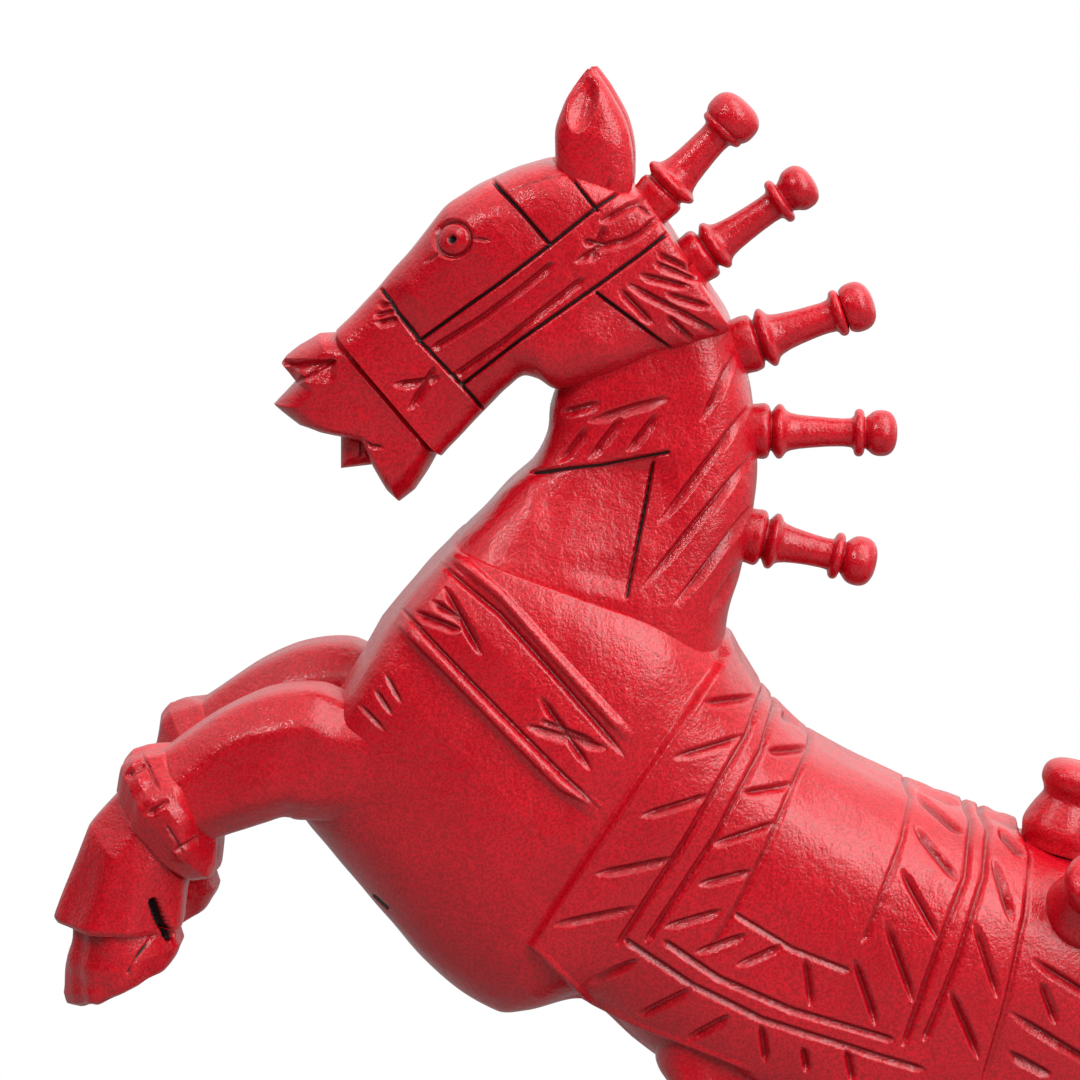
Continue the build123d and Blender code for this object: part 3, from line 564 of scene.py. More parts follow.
# Rump harness, a drying crack on the belly, and the filled glue line at the foot of the neck
harness_cuts = [
    (1032, 958, 1080, 988, 1130, 1010), (1009, 1011, 1080, 1055, 1140, 1085),
    (1040, 983, 1055, 1024), (1009, 1052, 1052, 1075), (1050, 905, 1080, 920, 1120, 930),
    (1085, 1000, 1100, 1050), (1120, 1010, 1140, 1070),
]
belly_crack = (374, 896, 388, 908)
glue_line = (455, 548, 500, 556, 560, 582, 640, 610, 700, 630, 725, 648)
trunk.grooves(harness_cuts, width=12, depth=2.3)
trunk.saw_cuts([belly_crack], depth=0.8, width=3)
trunk.grooves([glue_line], width=7, depth=0.45, taper=0.1)
trunk_lengths = {"chest": (0, 120), "girth": (119, 239), "barrel": (238, 358), "loin": (357, 477),
                 "rump": (476, 590)}
for name, rows in trunk_lengths.items():
    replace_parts(trunk.meshed("trunk_" + name, rows), "trunk")

# Neck
# Rises from the flat on the shoulders, arched, with a bevelled front edge. Long knife strokes in its rear half
# are the mane, and two deep saw cuts bound a smooth hollow at the throat.


def from_pixels(table):
    """Rows whose edge points are photograph pixels, as rows in millimetres in the plane of symmetry."""
    table = np.asarray(table, float)
    return np.concatenate([side_plane(table[:, 0:2]), side_plane(table[:, 2:4]), table[:, 4:]], axis=1)


neck_rows = [
    # crest pixel, front pixel, half width, powers, chamfers
    (694, 260, 590, 330, 23.0, 12, 12, 9.0, 9.0),
    (721, 303, 562, 372, 25.0, 12, 12, 9.0, 9.0),
    (737, 343, 551, 402, 26.5, 12, 12, 9.5, 9.5),
    (749, 378, 547, 430, 27.5, 12, 12, 10.0, 9.5),
    (756, 430, 534, 456, 29.0, 12, 12, 10.5, 9.5),
    (757, 480, 506, 484, 31.0, 12, 12, 11.0, 9.5),
    (751, 525, 481, 510, 34.0, 12, 12, 12.0, 10.0),
    (741, 568, 463, 528, 37.0, 12, 12, 13.5, 11.0),
    (728, 612, 449, 546, 40.0, 12, 12, 15.0, 13.0),
    (724, 650, 432, 578, 40.0, 12, 12, 15.0, 13.0),
    (730, 690, 430, 620, 36.0, 12, 12, 14.0, 13.0),
]
throat_edge = (528, 472, 600, 466, 672, 451)
mane_edge = (655, 455, 648, 500, 627, 600)
throat_cut = (533, 471, 600, 465, 668, 452)
mane_cut = (653, 463, 640, 530, 627, 597)
mane_strokes = [
    (735, 353, 700, 422), (747, 408, 705, 462, 658, 523), (755, 452, 700, 515, 640, 590),
    (752, 505, 700, 572, 674, 604), (743, 560, 709, 610),
    (587, 421, 630, 407, 669, 397), (586, 427, 558, 461), (622, 415, 588, 459),
    (656, 413, 626, 452), (560, 412, 600, 402),
]
neck = Form(rounded(filled(from_pixels(neck_rows), count=210), count=420))
neck.hand_carved(size=24, depth=0.25, seed=5)
neck.step(throat_edge, depth=2.2, run=85)
neck.step(mane_edge, depth=2.6, run=75)
neck.saw_cuts([throat_cut], depth=1.4, width=4, thin=0.35)
neck.saw_cuts([mane_cut], depth=1.4, width=4, thin=0.55)
neck.grooves(mane_strokes, width=12.5, depth=2.1, taper=0.25)
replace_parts(neck.meshed("neck"), "head_and_neck")

# Head
# Long and slab-sided, with bevelled corners. Saw cuts mark off the browband, the cheek strap and the noseband;
# the eye is a drilled disc in a ring, and a fan of knife cuts behind the strap begins the mane.

head_rows = [
    # upper pixel, lower pixel, half width, powers, chamfers
    (648, 198, 729, 317, 24.0, 12, 12, 5.0, 5.0),
    (643, 190, 731, 325, 28.5, 12, 12, 6.0, 5.0),
    (620, 180, 712, 336, 30.5, 14, 14, 7.5, 6.0),
    (592, 166, 676, 350, 31.5, 14, 14, 9.0, 7.0),
    (556, 158, 632, 366, 32.5, 14, 14, 10.0, 7.5),
    (524, 165, 594, 378, 33.0, 14, 14, 10.0, 8.0),
    (494, 177, 560, 385, 32.5, 14, 14, 10.0, 8.0),
    (468, 190, 541, 375, 31.5, 14, 14, 10.0, 7.5),
    (446, 206, 526, 372, 30.0, 14, 14, 10.0, 7.0),
    (418, 241, 510, 384, 27.5, 14, 14, 9.0, 6.0),
    (396, 267, 497, 396, 25.0, 14, 14, 8.0, 5.5),
    (378, 288, 485, 408, 23.0, 14, 14, 7.0, 5.0),
    (358, 309, 466, 429, 22.0, 14, 14, 6.5, 4.5),
    (339, 328, 445, 452, 21.0, 14, 14, 6.0, 4.5),
]
browband_front = (493, 180, 520, 210, 550, 245)
browband_rear = (555, 158, 575, 181, 597, 210)
strap_upper = (418, 342, 458, 313, 500, 283, 550, 245, 597, 207, 634, 180)
strap_lower = (462, 385, 492, 362, 520, 340, 560, 312, 600, 284, 640, 255, 672, 230)
noseband = (382, 290, 396, 312, 420, 342, 450, 373, 482, 408)
cheek_cut = (597, 293, 636, 322, 673, 351)
browband_edge = (493, 178, 520, 210, 550, 245)
strap_ridges = [
    (430, 349, 480, 318, 520, 288, 552, 262), (452, 376, 500, 343, 540, 311, 583, 277),
]
crown_cuts = [
    (575, 262, 598, 247, 625, 238), (583, 240, 612, 246), (604, 226, 590, 262),
    (600, 222, 630, 204, 652, 196), (612, 246, 640, 232, 660, 214), (635, 200, 655, 214),
]
nose_cuts = [
    (393, 384, 418, 381, 440, 376), (434, 366, 408, 410), (375, 322, 398, 318),
    (374, 314, 394, 310), (378, 304, 392, 302),
]
mane_fan = [
    (658, 253, 680, 263, 699, 272), (640, 274, 690, 286), (667, 293, 710, 306),
    (628, 283, 670, 305, 710, 327), (620, 289, 653, 324), (667, 316, 692, 341),
    (655, 262, 700, 280), (690, 316, 716, 332),
]
head = Form(rounded(filled(from_pixels(head_rows), count=250), count=390))
head.hand_carved(size=22, depth=0.22, seed=7)
head.saw_cuts([browband_front, browband_rear, strap_upper, strap_lower, noseband])
head.saw_cuts([cheek_cut], depth=1.6, width=4)
head.step(cheek_cut, depth=1.8, run=40)
head.step(browband_edge, depth=1.6, run=30)
head.step(noseband[:6], depth=1, run=24, side=-1)
head.grooves(strap_ridges, width=10, depth=2, taper=0.05)
head.grooves(crown_cuts + nose_cuts + mane_fan, width=11, depth=2.1)

# Eye: a drilled disc in a ring, with a knife cut at each corner, under a faint brow line
eye_centre, pupil_centre, pupil_radius = (453, 239), (453, 240), 2.6
eye_corners = [(470, 239, 480, 238, 491, 241), (440, 251, 432, 257, 424, 262)]
brow_line = (498, 196, 530, 183, 568, 172)
head.ring(eye_centre, radius=17.5, width=6, depth=1.6)
head.dome(eye_centre, radius=15, height=0.7)
head.ring(eye_centre, radius=0, width=9, depth=3)
# The drilled hole in the middle of the eye is painted black as its shadow
from_pupil = np.hypot(head.u - pupil_centre[0], head.v - pupil_centre[1]) - pupil_radius
head.saw = np.minimum(head.saw, np.maximum(from_pupil, 0) + far_from_saw * (1 - head.shown))
head.grooves(eye_corners, width=5, depth=1, taper=0.3)
head.grooves([brow_line], width=5, depth=0.4, taper=0.3)
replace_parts(head.meshed("head"), "head_and_neck")

# Muzzle
# In front of the noseband's saw cut: the nose, a nostril notch, the lip, and the chin below the open mouth,
# all flat facets of a chisel.


def cushion(outline, centre, half_width, edge, count, rings):
    """Solid between a side outline and its mirror image, bulging from the outline to its full width.

    With t from 0 at the outline to 1 at the centre, a point lies at outline (1 - t) + centre t in the side
    view, and half_width(x, z) sqrt(1 - (1 - t / edge)^2) from the middle, or the full half width past t = edge.
    The grid's first direction goes from one centre over the rim to the other, in rows that crowd towards the
    rim, and its second round the outline."""
    outline = np.asarray(outline, float)
    closed = np.concatenate([outline, outline[:1]])
    station = np.r_[0.0, np.cumsum(np.linalg.norm(np.diff(closed, axis=0), axis=1))]
    at = np.arange(count) * station[-1] / count
    rim = np.stack([np.interp(at, station, closed[:, 0]), np.interp(at, station, closed[:, 1])], axis=1)
    rim, middle = side_plane(rim), side_plane(np.asarray(centre, float))
    t = 0.995 * np.linspace(0.0, 1.0, rings) ** 1.6
    bulge = np.sqrt(1 - np.clip(1 - t / edge, 0, 1) ** 2)
    flat = rim[None] * (1 - t[:, None, None]) + middle * t[:, None, None]
    width = half_width(flat) * bulge[:, None]
    near = np.stack([flat[..., 0], -width, flat[..., 1]], axis=-1)
    far = near * [1, -1, 1]
    return np.concatenate([near[::-1], far[1:]])


noseband_middle = (390.0, 385.0)
muzzle_axis = (0.807, 0.590)
muzzle_back_half, muzzle_lip_half, muzzle_taper, muzzle_overlap = 19.6, 9.0, 0.18, 8.0


def muzzle_width(place):
    """Half width that falls evenly with the way from the noseband to the lips, where it is least."""
    back = side_plane(np.array([noseband_middle]))[0]
    ahead = (back[0] - place[..., 0]) * muzzle_axis[0] + (back[1] - place[..., 1]) * muzzle_axis[1]
    return np.maximum(muzzle_back_half - muzzle_taper * np.maximum(ahead, -muzzle_overlap), muzzle_lip_half)


muzzle_outline = [
    (345, 336), (337, 332), (320, 333), (300, 345), (287, 355), (282, 362), (290, 371), (297, 380), (275, 403),
    (300, 424), (320, 431), (345, 436), (363, 440), (375, 466), (390, 490), (400, 500), (415, 489), (430, 466),
    (440, 450), (437, 442), (402, 402), (382, 380), (362, 357),
]
muzzle_centre = (378, 404)
nostril_edge, nostril_floor = (278, 360, 310, 360, 337, 361), (337, 361, 315, 374, 296, 384)
nostril_cut, mouth_corner = (318, 372, 296, 382), (363, 440, 372, 446, 384, 447)
muzzle = Form(cushion(muzzle_outline, muzzle_centre, muzzle_width, edge=0.30, count=340, rings=80))
muzzle.hand_carved(size=16, depth=0.25, seed=11)
# Nostril: a notch struck in from the front, its floor sloping back
muzzle.step(nostril_edge, depth=3.4, run=24, edge=2)
muzzle.step(nostril_floor, depth=1.2, run=14, edge=2)
muzzle.grooves([nostril_cut], width=6, depth=1)
muzzle.grooves([mouth_corner], width=6, depth=1.4, taper=0.3)
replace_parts(muzzle.meshed("muzzle"), "head_and_neck")

# Tongue
# A four-sided wooden pyramid that sticks down between the lip and the chin, glued in the mouth and painted
# with the head.
tongue_outline = [(341, 430), (341, 468), (358, 466), (375, 464), (374, 430)]
tongue_centre, tongue_half = (361, 442), 8.0
tongue_crease = (361, 436, 361, 458)


def tongue_width(place):
    """The same half width everywhere."""
    return np.full(place.shape[:2], tongue_half)


tongue = Form(cushion(tongue_outline, tongue_centre, tongue_width, edge=0.95, count=100, rings=36))
tongue.grooves([tongue_crease], width=7, depth=1)
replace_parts(tongue.meshed("tongue_carved"), "tongue")

# Ears
# Leaf-shaped, each let into the poll on a tenon; a gouge has hollowed the outer front. The far ear is hidden
# behind the near one in the photograph.
ear_rows = [
    # front pixel, back pixel, half width, powers, chamfers
    (575, 212, 621, 214, 5.5, 3, 3, 0, 0),
    (564, 185, 632, 192, 7.5, 3, 3, 0, 0),
    (558, 158, 634, 160, 8.6, 2.8, 2.8, 0, 0),
    (558, 129, 632, 134, 8.8, 2.6, 2.6, 0, 0),
    (565, 105, 622, 107, 7.8, 2.4, 2.4, 0, 0),
    (574, 87, 611, 89, 6.0, 2.3, 2.3, 0, 0),
    (584, 74, 601, 75, 3.8, 2.2, 2.2, 0, 0),
    (590, 68, 595, 68, 1.2, 2.0, 2.0, 0, 0),
]
ear_middle = -19.0
ear_scoop, ear_root_cut = (583, 101), (597, 207, 606, 190, 610, 176)
ear = Form(rounded(filled(from_pixels(ear_rows), count=130), count=150, middle=ear_middle))
ear.hollow(ear_scoop, long=33, short=15, turn=14, depth=4.2)
ear.hand_carved(size=13, depth=0.22, seed=13)
ear.grooves([ear_root_cut], width=6, depth=0.8)
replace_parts(ear.meshed("ear_left_carved"), "ear_left")
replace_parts(ear.meshed("ear_right_carved", mirror=True), "ear_right")

# Forelegs
# Each is one block: an eight-sided shaft, a knotted fetlock collar, a bell and a split hoof, all cut in facets.
# The right one stands a little higher and further back than the left.
leg_half, leg_middle, leg_power = 22.5, -28.5, 18
foreleg_reach, foreleg_height = 100.0, 118.7
foreleg_root = slope_point(chest_face, trunk_slope, trunk_length * 0.0235, trunk_depth * -0.700)


def leg_part(shares, place, straight, chamfer, count, around):
    """Rows in shares of a leg's reach and height as a faceted form; chamfer is a share of the half width."""
    table = []
    for upper_out, upper_up, lower_out, lower_up, width in shares:
        half = width * leg_half
        table.append((*place(upper_out, upper_up), *place(lower_out, lower_up), half, leg_power, leg_power,
                      chamfer * half, chamfer * half))
    return Form(rounded(filled(table, count, straight), around, leg_middle))


def foreleg_place(out, up):
    """Place (x, z) at shares of the foreleg's reach ahead of its root and of its height above it."""
    return foreleg_root[0] - foreleg_reach * out, foreleg_root[1] + foreleg_height * up


def flush(points):
    """Near-side points of a leg's root brought down level with the flank, further and further behind the chest.

    With t the flank's half width at a point's place and g falling from 1 to 0 over the blend length behind the
    chest's face, a point that stands out by e lies at t - sunk + (e + sunk) g."""
    sunk, blend_length = 0.35, 38.0
    table = (trunk_table[:, 0:2] - chest_face, trunk_table[:, 2:4] - chest_face)
    slope = np.array(cos_sin(trunk_slope))
    square = np.array([-slope[1], slope[0]])
    station, upper, lower = table[0] @ slope, table[0] @ square, table[1] @ square
    place = points[..., [0, 2]] - chest_face
    along, across = place @ slope, place @ square
    top, bottom = np.interp(along, station, upper), np.interp(along, station, lower)
    share = np.clip(np.abs((2 * across - top - bottom) / (top - bottom)), 0, 1)
    power = np.interp(along, station, trunk_table[:, 6])
    half = np.interp(along, station, trunk_table[:, 4]) * (1 - share ** power) ** (1 / power)
    excess = -points[..., 1] - half + sunk
    level = np.clip((blend_length - along) / blend_length, 0, 1)
    level = level * level * (3 - 2 * level)
    moved = points.copy()
    moved[..., 1] = np.where(excess > 0, -(half - sunk + excess * level), points[..., 1])
    return moved


foreleg_parts = {
    "shaft": leg_part([
        (-0.450, 0.150, -0.260, -0.170, 0.86), (-0.105, 0.185, 0.106, -0.176, 0.93),
        (0.015, 0.230, 0.160, -0.168, 0.93), (0.125, 0.229, 0.220, -0.184, 0.95),
        (0.240, 0.207, 0.285, -0.202, 0.94), (0.396, 0.144, 0.355, -0.221, 0.90),
        (0.590, 0.030, 0.420, -0.245, 0.88)],
        foreleg_place, straight=0.2, chamfer=0.52, count=120, around=160),
    "collar": leg_part([
        (0.560, 0.040, 0.395, -0.235, 0.90), (0.588, 0.036, 0.400, -0.242, 1.06),
        (0.655, 0.030, 0.404, -0.275, 1.14), (0.702, 0.018, 0.408, -0.318, 1.14),
        (0.736, -0.014, 0.420, -0.352, 1.10), (0.757, -0.096, 0.480, -0.366, 0.92)],
        foreleg_place, straight=0.75, chamfer=0.60, count=80, around=170),
    "bell": leg_part([
        (0.700, -0.060, 0.470, -0.330, 0.80), (0.760, -0.105, 0.500, -0.355, 0.88),
        (0.860, -0.199, 0.516, -0.404, 0.98), (0.928, -0.345, 0.522, -0.448, 1.02),
        (0.991, -0.478, 0.530, -0.498, 1.08), (0.982, -0.494, 0.535, -0.512, 1.04)],
        foreleg_place, straight=0.7, chamfer=0.62, count=84, around=150),
    "hoof": leg_part([
        (0.915, -0.470, 0.545, -0.490, 0.92), (0.920, -0.505, 0.555, -0.514, 0.94),
        (0.954, -0.634, 0.538, -0.566, 0.98), (0.963, -0.718, 0.568, -0.620, 0.98),
        (0.950, -0.748, 0.580, -0.634, 0.95), (0.915, -0.760, 0.600, -0.642, 0.86)],
        foreleg_place, straight=0.8, chamfer=0.62, count=70, around=150),
}
collar_notches = [(124, 777, 146, 762), (146, 815, 168, 799), (174, 851, 199, 836)]
collar_scores = [(141, 752, 160, 792), (164, 822, 186, 856)]
bell_edge = (118, 800, 140, 832, 182, 880)
hoof_split, hoof_crack = (154, 903, 160, 918, 169, 936), (152, 936, 139, 954, 128, 972)
# Pixels by which the painted black shadow in the hoof's split reaches further to each side
split_shadow_spread = 3.0
right_foreleg_shift = (5.0, 0.0, 6.0)
foreleg_parts["shaft"] = Form(flush(foreleg_parts["shaft"].points))
shaft, collar, bell, hoof = foreleg_parts.values()
shaft.hand_carved(size=22, depth=0.30, seed=17)
collar.hand_carved(size=11, depth=0.55, seed=19)
bell.hand_carved(size=18, depth=0.35, seed=23)
hoof.hand_carved(size=15, depth=0.45, seed=29)
collar.grooves(collar_notches, width=9, depth=1.7)
collar.grooves(collar_scores, width=6, depth=0.9)
bell.step(bell_edge, depth=1.2, run=30, edge=4, side=-1)
for part in (bell, hoof):
    part.saw_cuts([hoof_split], depth=5, width=11)
    part.saw = np.where(part.saw < far_from_saw, np.maximum(part.saw - split_shadow_spread, 0), part.saw)
hoof.saw_cuts([hoof_crack], depth=0.6, width=4, thin=1.3)
for name, part in foreleg_parts.items():
    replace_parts(part.meshed("foreleg_left_" + name), "foreleg_left")
    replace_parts(part.meshed("foreleg_right_" + name, mirror=True, move=right_foreleg_shift), "foreleg_right")

# Hind legs
# Outside the photograph except for the gaskin's front edge under the blanket's hem. Made like the forelegs,
# from blocks that run up into the rump; the soles are flat.
hind_reach, sole_height = 170.0, 12.0
hip = slope_point(chest_face, trunk_slope, trunk_length * 0.961, trunk_depth * -0.407)


def hind_leg_place(back, height):
    """Place (x, z) at a share of the way back from the hoof's front to the hip, and of the hip's height."""
    return hip[0] - hind_reach * (1 - back), hip[1] * height


hind_leg_parts = {
    "shaft": leg_part([
        (0.100, 1.130, 0.930, 1.060, 0.66), (0.095, 1.010, 0.985, 0.860, 0.84),
        (0.150, 0.955, 0.990, 0.760, 0.98), (0.310, 0.810, 0.955, 0.640, 0.98),
        (0.450, 0.680, 0.880, 0.530, 0.94), (0.490, 0.580, 0.795, 0.440, 0.92),
        (0.440, 0.480, 0.680, 0.350, 0.90), (0.340, 0.400, 0.540, 0.255, 0.88),
        (0.245, 0.370, 0.430, 0.215, 0.88)],
        hind_leg_place, straight=0.2, chamfer=0.50, count=140, around=140),
    "collar": leg_part([
        (0.285, 0.385, 0.445, 0.240, 0.92), (0.255, 0.400, 0.425, 0.235, 1.06),
        (0.190, 0.410, 0.400, 0.195, 1.14), (0.140, 0.388, 0.350, 0.178, 1.12),
        (0.095, 0.330, 0.300, 0.205, 0.98)],
        hind_leg_place, straight=0.75, chamfer=0.60, count=60, around=130),
    "bell": leg_part([
        (0.120, 0.340, 0.310, 0.245, 0.80), (0.095, 0.318, 0.310, 0.228, 0.88),
        (0.058, 0.272, 0.310, 0.215, 0.98), (0.030, 0.200, 0.312, 0.180, 1.03),
        (0.004, 0.150, 0.312, 0.150, 1.08), (0.010, 0.140, 0.306, 0.140, 1.04)],
        hind_leg_place, straight=0.7, chamfer=0.62, count=60, around=120),
    "hoof": leg_part([
        (0.045, 0.155, 0.290, 0.155, 0.92), (0.040, 0.135, 0.292, 0.138, 0.94),
        (0.024, 0.068, 0.308, 0.085, 0.97), (0.020, 0.022, 0.292, 0.030, 0.97),
        (0.030, 0.004, 0.280, 0.006, 0.94), (0.045, 0.000, 0.272, 0.000, 0.88)],
        hind_leg_place, straight=0.8, chamfer=0.62, count=50, around=120),
}
for number, (name, part) in enumerate(hind_leg_parts.items()):
    part.hand_carved(size=18, depth=0.35, seed=31 + number)
    part.lift *= np.clip(part.points[..., 2] / sole_height, 0, 1)
    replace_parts(part.meshed("hind_leg_left_" + name), "hind_leg_left")
    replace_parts(part.meshed("hind_leg_right_" + name, mirror=True), "hind_leg_right")

# Tail
# Arches out of the rump, cut with long strands, and comes down to the ground as the horse's third foot.
# It is outside the photograph.
tail_reach, tail_half, tail_power, tail_along, tail_round = 73.0, 19.0, 2.4, 220, 130
strand_count, strand_depth = 9, 1.3
dock = slope_point(chest_face, trunk_slope, trunk_length * 0.955, trunk_depth * -0.090)
# Outer and inner edge in shares of the reach behind the dock and of the dock's height, and a share of the width
tail_shares = [
    (0.315, 0.000, -0.014, 0.000, 0.70), (0.448, 0.154, 0.073, 0.176, 0.84),
    (0.593, 0.343, 0.174, 0.364, 0.94), (0.718, 0.561, 0.268, 0.577, 1.00),
    (0.774, 0.783, 0.322, 0.787, 1.00), (0.748, 0.947, 0.321, 0.922, 0.97),
    (0.575, 1.052, 0.274, 0.966, 0.92), (0.226, 1.099, 0.212, 0.982, 0.86),
    (-0.071, 1.076, 0.071, 0.974, 0.80), (-0.355, 1.031, -0.193, 0.932, 0.76),
]
tail_table = []
for outer_out, outer_up, inner_out, inner_up, width in tail_shares:
    tail_table.append((dock[0] + tail_reach * outer_out, dock[1] * outer_up, dock[0] + tail_reach * inner_out,
                       dock[1] * inner_up, tail_half * width, tail_power, tail_power, 0.0, 0.0))
tail = Form(rounded(filled(tail_table, tail_along), tail_round))
around = np.arange(tail_round) / tail_round * 2 * np.pi
length = np.linspace(0, 1, tail_along)[:, None]
# The wood is cut away where sin(strands x angle + a slow wave along the tail) is near 0
strands = np.sin(strand_count * around[None] + 2.2 * np.sin(2.5 * length * np.pi)) ** 2
tail.lift -= strand_depth * (1 - strands) ** 3 * np.clip(length * 30, 0, 1) * np.clip((1 - length) * 12, 0, 1)
# Painted shade in the bottoms of the strand grooves
tail.groove_shade = np.clip(1.4 * (1 - strands) ** 3 - 0.3, 0, 1)
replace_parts(tail.meshed("tail_carved"), "tail")

# Mane pegs
# Five pegs turned on a lathe and glued along the crest, painted with the rest. Each has a collar, a flange, a
# waisted shaft, a ring and a squashed ball.


def turned(name, node, profile, seat, axis, around):
    """A turned piece: its profile of (radius, height) swept round an axis that rises from its seat.

    Painted shade darkens it where the profile is narrower than its mean over the window of points around."""
    window = 13
    profile = np.asarray(profile, float)
    axis = np.asarray(axis, float) / np.linalg.norm(axis)
    first = np.cross(axis, [1.0, 0.0, 0.0] if abs(axis[1]) > 0.5 else [0.0, 1.0, 0.0])
    first /= np.linalg.norm(first)
    second = np.cross(axis, first)
    angle = np.arange(around) * 2 * np.pi / around
    ring = np.cos(angle)[:, None] * first + np.sin(angle)[:, None] * second
    points = np.asarray(seat) + profile[:, 1, None, None] * axis + profile[:, 0, None, None] * ring
    form = Form(points)
    form.hand_carved(size=14, depth=0.10, seed=len(name) + int(abs(seat[2])))
    near = np.convolve(np.pad(profile[:, 0], window // 2, "edge"), np.ones(window) / window, "valid")
    form.groove_shade += np.clip((near - profile[:, 0]) * 0.9 - 0.25, 0, 1)[:, None]
    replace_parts(form.meshed(name), node)


def smooth_profile(corners, step, soften):
    """Profile points every step along the corners, rounded by averaging each with its neighbours."""
    corners = np.asarray(corners, float)
    station = np.r_[0.0, np.cumsum(np.linalg.norm(np.diff(corners, axis=0), axis=1))]
    at = np.linspace(0.0, station[-1], int(station[-1] / step))
    profile = np.stack([np.interp(at, station, corners[:, 0]), np.interp(at, station, corners[:, 1])], axis=1)
    for _ in range(soften):
        profile[1:-1] = 0.25 * profile[:-2] + 0.5 * profile[1:-1] + 0.25 * profile[2:]
    profile[:, 0] = np.maximum(profile[:, 0], 0.05)
    return profile


def ball_corners(radius, half, height, start):
    """Squashed ball, close to |r / radius|^2.5 + |h / half|^2.5 = 1, from an angle above its bottom."""
    angle = np.radians(np.linspace(start, 179.0, 26))
    c = -np.sign(np.cos(angle)) * np.abs(np.cos(angle)) ** 0.8
    return list(zip(radius * np.sin(angle) ** 0.8, height + half * c))


def peg_corners(collar, flange, thin, high, ring_high, ball, ball_half, run):
    """Corners of (radius, height) up a peg: collar, flange, waisted shaft, ring, and the ball at its run."""
    corners = [(0.1, -4.0), (collar * 0.95, -4.0), (collar * 0.98, 0.3), (collar, 1.6), (collar, 2.6),
               (collar * 0.96, high - 4.6), (collar * 0.86, high - 3.9), (flange * 0.70, high - 3.5),
               (flange * 0.70, high - 3.1), (flange * 0.84, high - 2.2), (flange * 0.97, high - 1.2),
               (flange, high - 0.3), (flange * 0.97, high + 0.6), (flange * 0.86, high + 1.4)]
    # Along the shaft, and how much of the flange's swell is left there
    for along, swell in ((0.08, 0.50), (0.13, 0.36), (0.24, 0.22), (0.40, 0.12), (0.60, 0.04), (0.80, 0.0),
                         (0.90, 0.05)):
        corners.append((thin + (flange - thin) * swell, high + (ring_high - high) * along))
    corners += [(thin + 1.0, ring_high - 2.0), (7.7, ring_high - 1.6), (8.4, ring_high - 0.8),
                (8.5, ring_high), (8.3, ring_high + 0.9), (7.4, ring_high + 1.6), (5.4, ring_high + 2.0)]
    return corners + ball_corners(ball, ball_half, run, 52)


# Seat and ball centre as photograph pixels, then the radius of the collar, flange and waist, the height of the
# flange and ring, and the ball's radius and half length
mane_pegs = [
    ((655.5, 199.5), (733, 118), 8.9, 10.4, 5.6, 8.6, 34.2, 9.8, 7.2),
    ((697, 258), (799, 188), 9.6, 9.4, 5.1, 8.2, 35.4, 8.2, 5.8),
    ((742, 346), (856, 307), 10.4, 10.8, 5.6, 9.6, 36.2, 8.9, 6.5),
    ((757, 431), (881, 433), 10.0, 9.9, 5.0, 8.3, 36.4, 8.2, 5.8),
    ((752, 536), (859, 561), 10.2, 10.2, 5.5, 8.0, 31.2, 8.9, 6.2),
]
for number, (seat_pixel, ball_pixel, *sizes) in enumerate(mane_pegs, 1):
    seat, ball_place = side_plane(np.array([seat_pixel, ball_pixel], float))
    run = np.linalg.norm(ball_place - seat)
    axis = (ball_place - seat) / run
    profile = smooth_profile(peg_corners(*sizes, run), step=0.38, soften=1)
    turned("mane_peg_%d_turned" % number, "mane_peg_%d" % number, profile, (seat[0], 0.0, seat[1]),
           (axis[0], 0.0, axis[1]), around=64)

# Croup knobs
# A squashed ball on a flared foot, three of them: one on the back and one on each flank. The photograph's edge
# cuts the first two.
knob_foot = [(0.1, -2.0), (13.2, -2.0), (13.6, 1.0), (14.3, 3.6), (14.6, 5.2), (14.2, 7.4), (13.3, 10.0),
             (12.2, 12.8), (11.0, 15.4), (10.2, 17.3)]
knob_ball = ball_corners(radius=12.8, half=6.9, height=24.0, start=58)
knob_profile = smooth_profile(knob_foot + knob_ball, step=0.45, soften=3)
knob_way, knob_sunk = cos_sin(74.0), 3.5
# Shares along and across the trunk, distance out from its middle, and tilt out of its plane
croup_knobs = {"croup_knob_top": (0.804, 0.026, 0.0, 0.0), "croup_knob_left": (0.852, -0.069, -36.0, -45.0),
               "croup_knob_right": (0.852, -0.069, 36.0, 45.0)}
for name, (along, across, out, tilt) in croup_knobs.items():
    x, z = slope_point(chest_face, trunk_slope, trunk_length * along, trunk_depth * across)
    lean, tip = cos_sin(tilt)
    axis = np.array([knob_way[0] * lean, tip, knob_way[1] * lean])
    turned(name + "_turned", name, knob_profile, np.array([x, out, z]) - axis * knob_sunk, axis, around=88)

# Dowels
# Hardwood pins glued in the joints of the neck and the legs, out of sight and unpainted. The solids stay as
# they are and only get their wood.
wood_brown = (0.55, 0.38, 0.22, 1.0)
bare_wood = bpy.data.materials.new("bare_wood")
mix = Mixture(bare_wood)
wood = mix.node("ShaderNodeBsdfPrincipled", inputs={"Base Color": wood_brown, "Roughness": 0.6}, output="BSDF")
mix.node("ShaderNodeOutputMaterial", inputs={"Surface": wood})
for name in ("neck_dowels", "foreleg_dowels", "hind_leg_dowels"):
    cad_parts[name].data.materials.clear()
    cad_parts[name].data.materials.append(bare_wood)

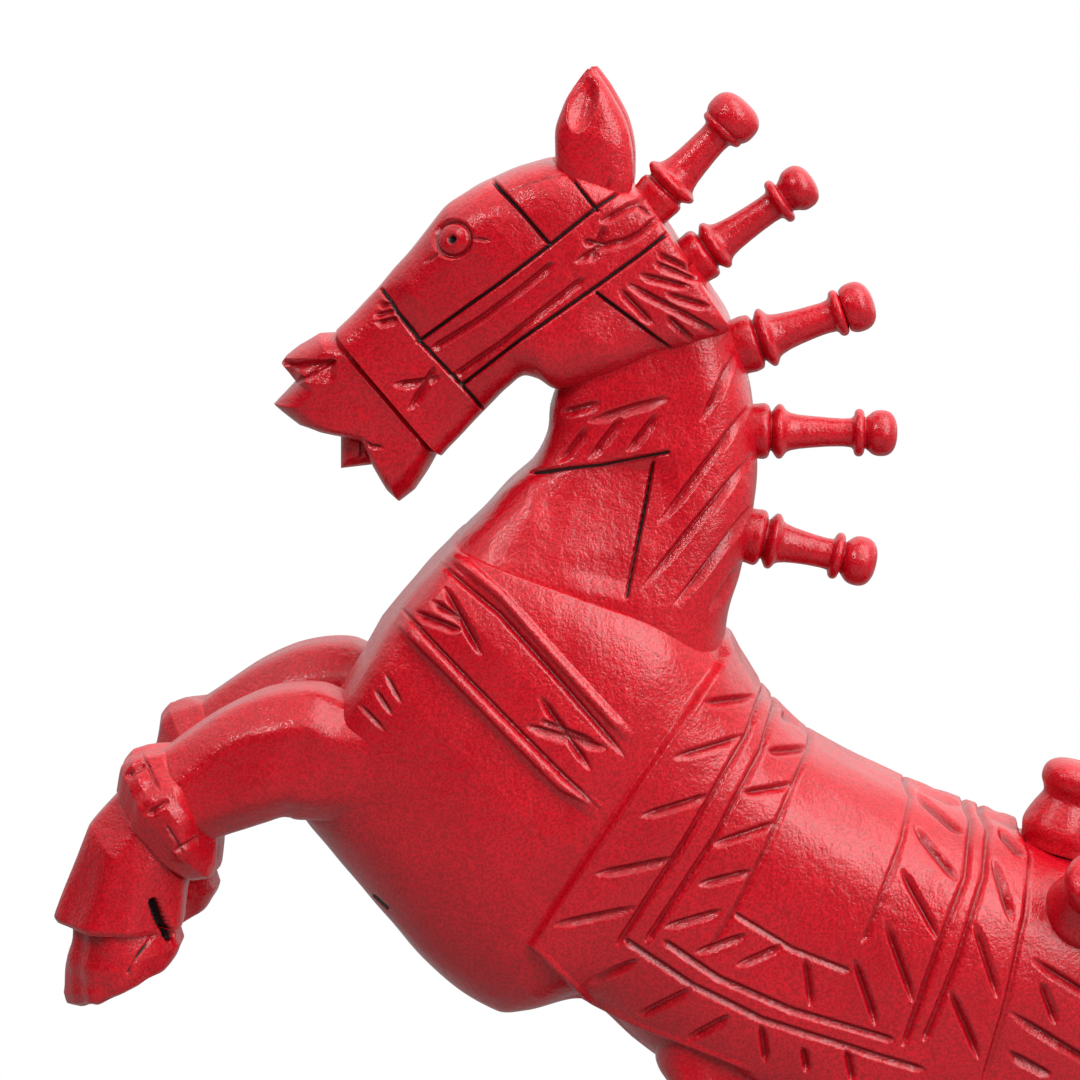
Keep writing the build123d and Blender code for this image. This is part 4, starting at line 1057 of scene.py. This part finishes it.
# Floor and light
# A white sweep in a photographer's tent, bright above and to the right and darker behind the camera. A little
# way from the horse the camera sees the floor turn white, so that only the shadow stays.
reach = 6.0
bounce_grey, seen_grey, white = (0.26, 0.26, 0.26), (0.60, 0.60, 0.60), (1.0, 1.0, 1.0)
floor_mesh = bpy.data.meshes.new("floor")
floor_mesh.from_pydata([(-reach, -reach, 0), (reach, -reach, 0), (reach, reach, 0), (-reach, reach, 0)], [],
                       [(0, 1, 2, 3)])
floor = bpy.data.objects.new("floor", floor_mesh)
bpy.context.scene.collection.objects.link(floor)
floor_paint = bpy.data.materials.new("white_floor")
mix = Mixture(floor_paint)
camera_ray = mix.node("ShaderNodeLightPath", output="Is Camera Ray")
place = mix.node("ShaderNodeTexCoord", output="Object")
away = mix.node("ShaderNodeVectorMath", {"operation": "LENGTH"}, {0: place}, output="Value")
shade = mix.colours(camera_ray, bounce_grey, seen_grey)
cloth = mix.node("ShaderNodeBsdfDiffuse", inputs={"Color": shade}, output="BSDF")
glow = mix.node("ShaderNodeEmission", inputs={"Color": (*white, 1.0), "Strength": 1.0}, output="Emission")
far_off = away.between(0.34, 0.60) * camera_ray
blend = mix.node("ShaderNodeMixShader", inputs={0: far_off, 1: cloth, 2: glow}, output="Shader")
mix.node("ShaderNodeOutputMaterial", inputs={"Surface": blend})
floor_mesh.materials.append(floor_paint)

tent_dark, tent_bright = (0.01, 0.01, 0.01), (1.6, 1.6, 1.6)
world = bpy.data.worlds.new("tent")
bpy.context.scene.world = world
mix = Mixture(world)
camera_ray = mix.node("ShaderNodeLightPath", output="Is Camera Ray")
direction = mix.node("ShaderNodeTexCoord", output="Generated")
across, depth, height = (mix.node("ShaderNodeSeparateXYZ", inputs={0: direction}, output=way)
                         for way in "XYZ")
share = depth.between(-0.3, 0.9) * 0.45 + height.between(0.18, 0.80) * 0.6 + across.between(-0.3, 0.8) * 0.4
sky = mix.colours(share, tent_dark, tent_bright)
shown = mix.colours(camera_ray, sky, white)
background = mix.node("ShaderNodeBackground", inputs={"Color": shown, "Strength": 1.0}, output="Background")
mix.node("ShaderNodeOutputWorld", inputs={"Surface": background})

# Place and aim in metres, side in metres and power in watts of each lamp
lamps = {
    "key": ((-0.75, -0.80, 1.35), (-0.02, 0.0, 0.36), 0.20, 4.2),
    "top": ((0.45, -0.20, 1.60), (0.0, 0.0, 0.35), 0.8, 7.0),
    "right": ((0.90, -1.05, 1.20), (0.05, 0.0, 0.35), 1.0, 16.0),
}
for name, (place, aim, side, power) in lamps.items():
    lamp_data = bpy.data.lights.new(name, "AREA")
    lamp_data.shape = "SQUARE"
    lamp_data.size = side
    lamp_data.energy = power
    lamp = bpy.data.objects.new(name, lamp_data)
    bpy.context.scene.collection.objects.link(lamp)
    lamp.location = place
    lamp.rotation_mode = "QUATERNION"
    lamp.rotation_quaternion = (Vector(aim) - Vector(place)).to_track_quat("-Z", "Y")
bpy.context.scene.view_settings.view_transform = "Standard"
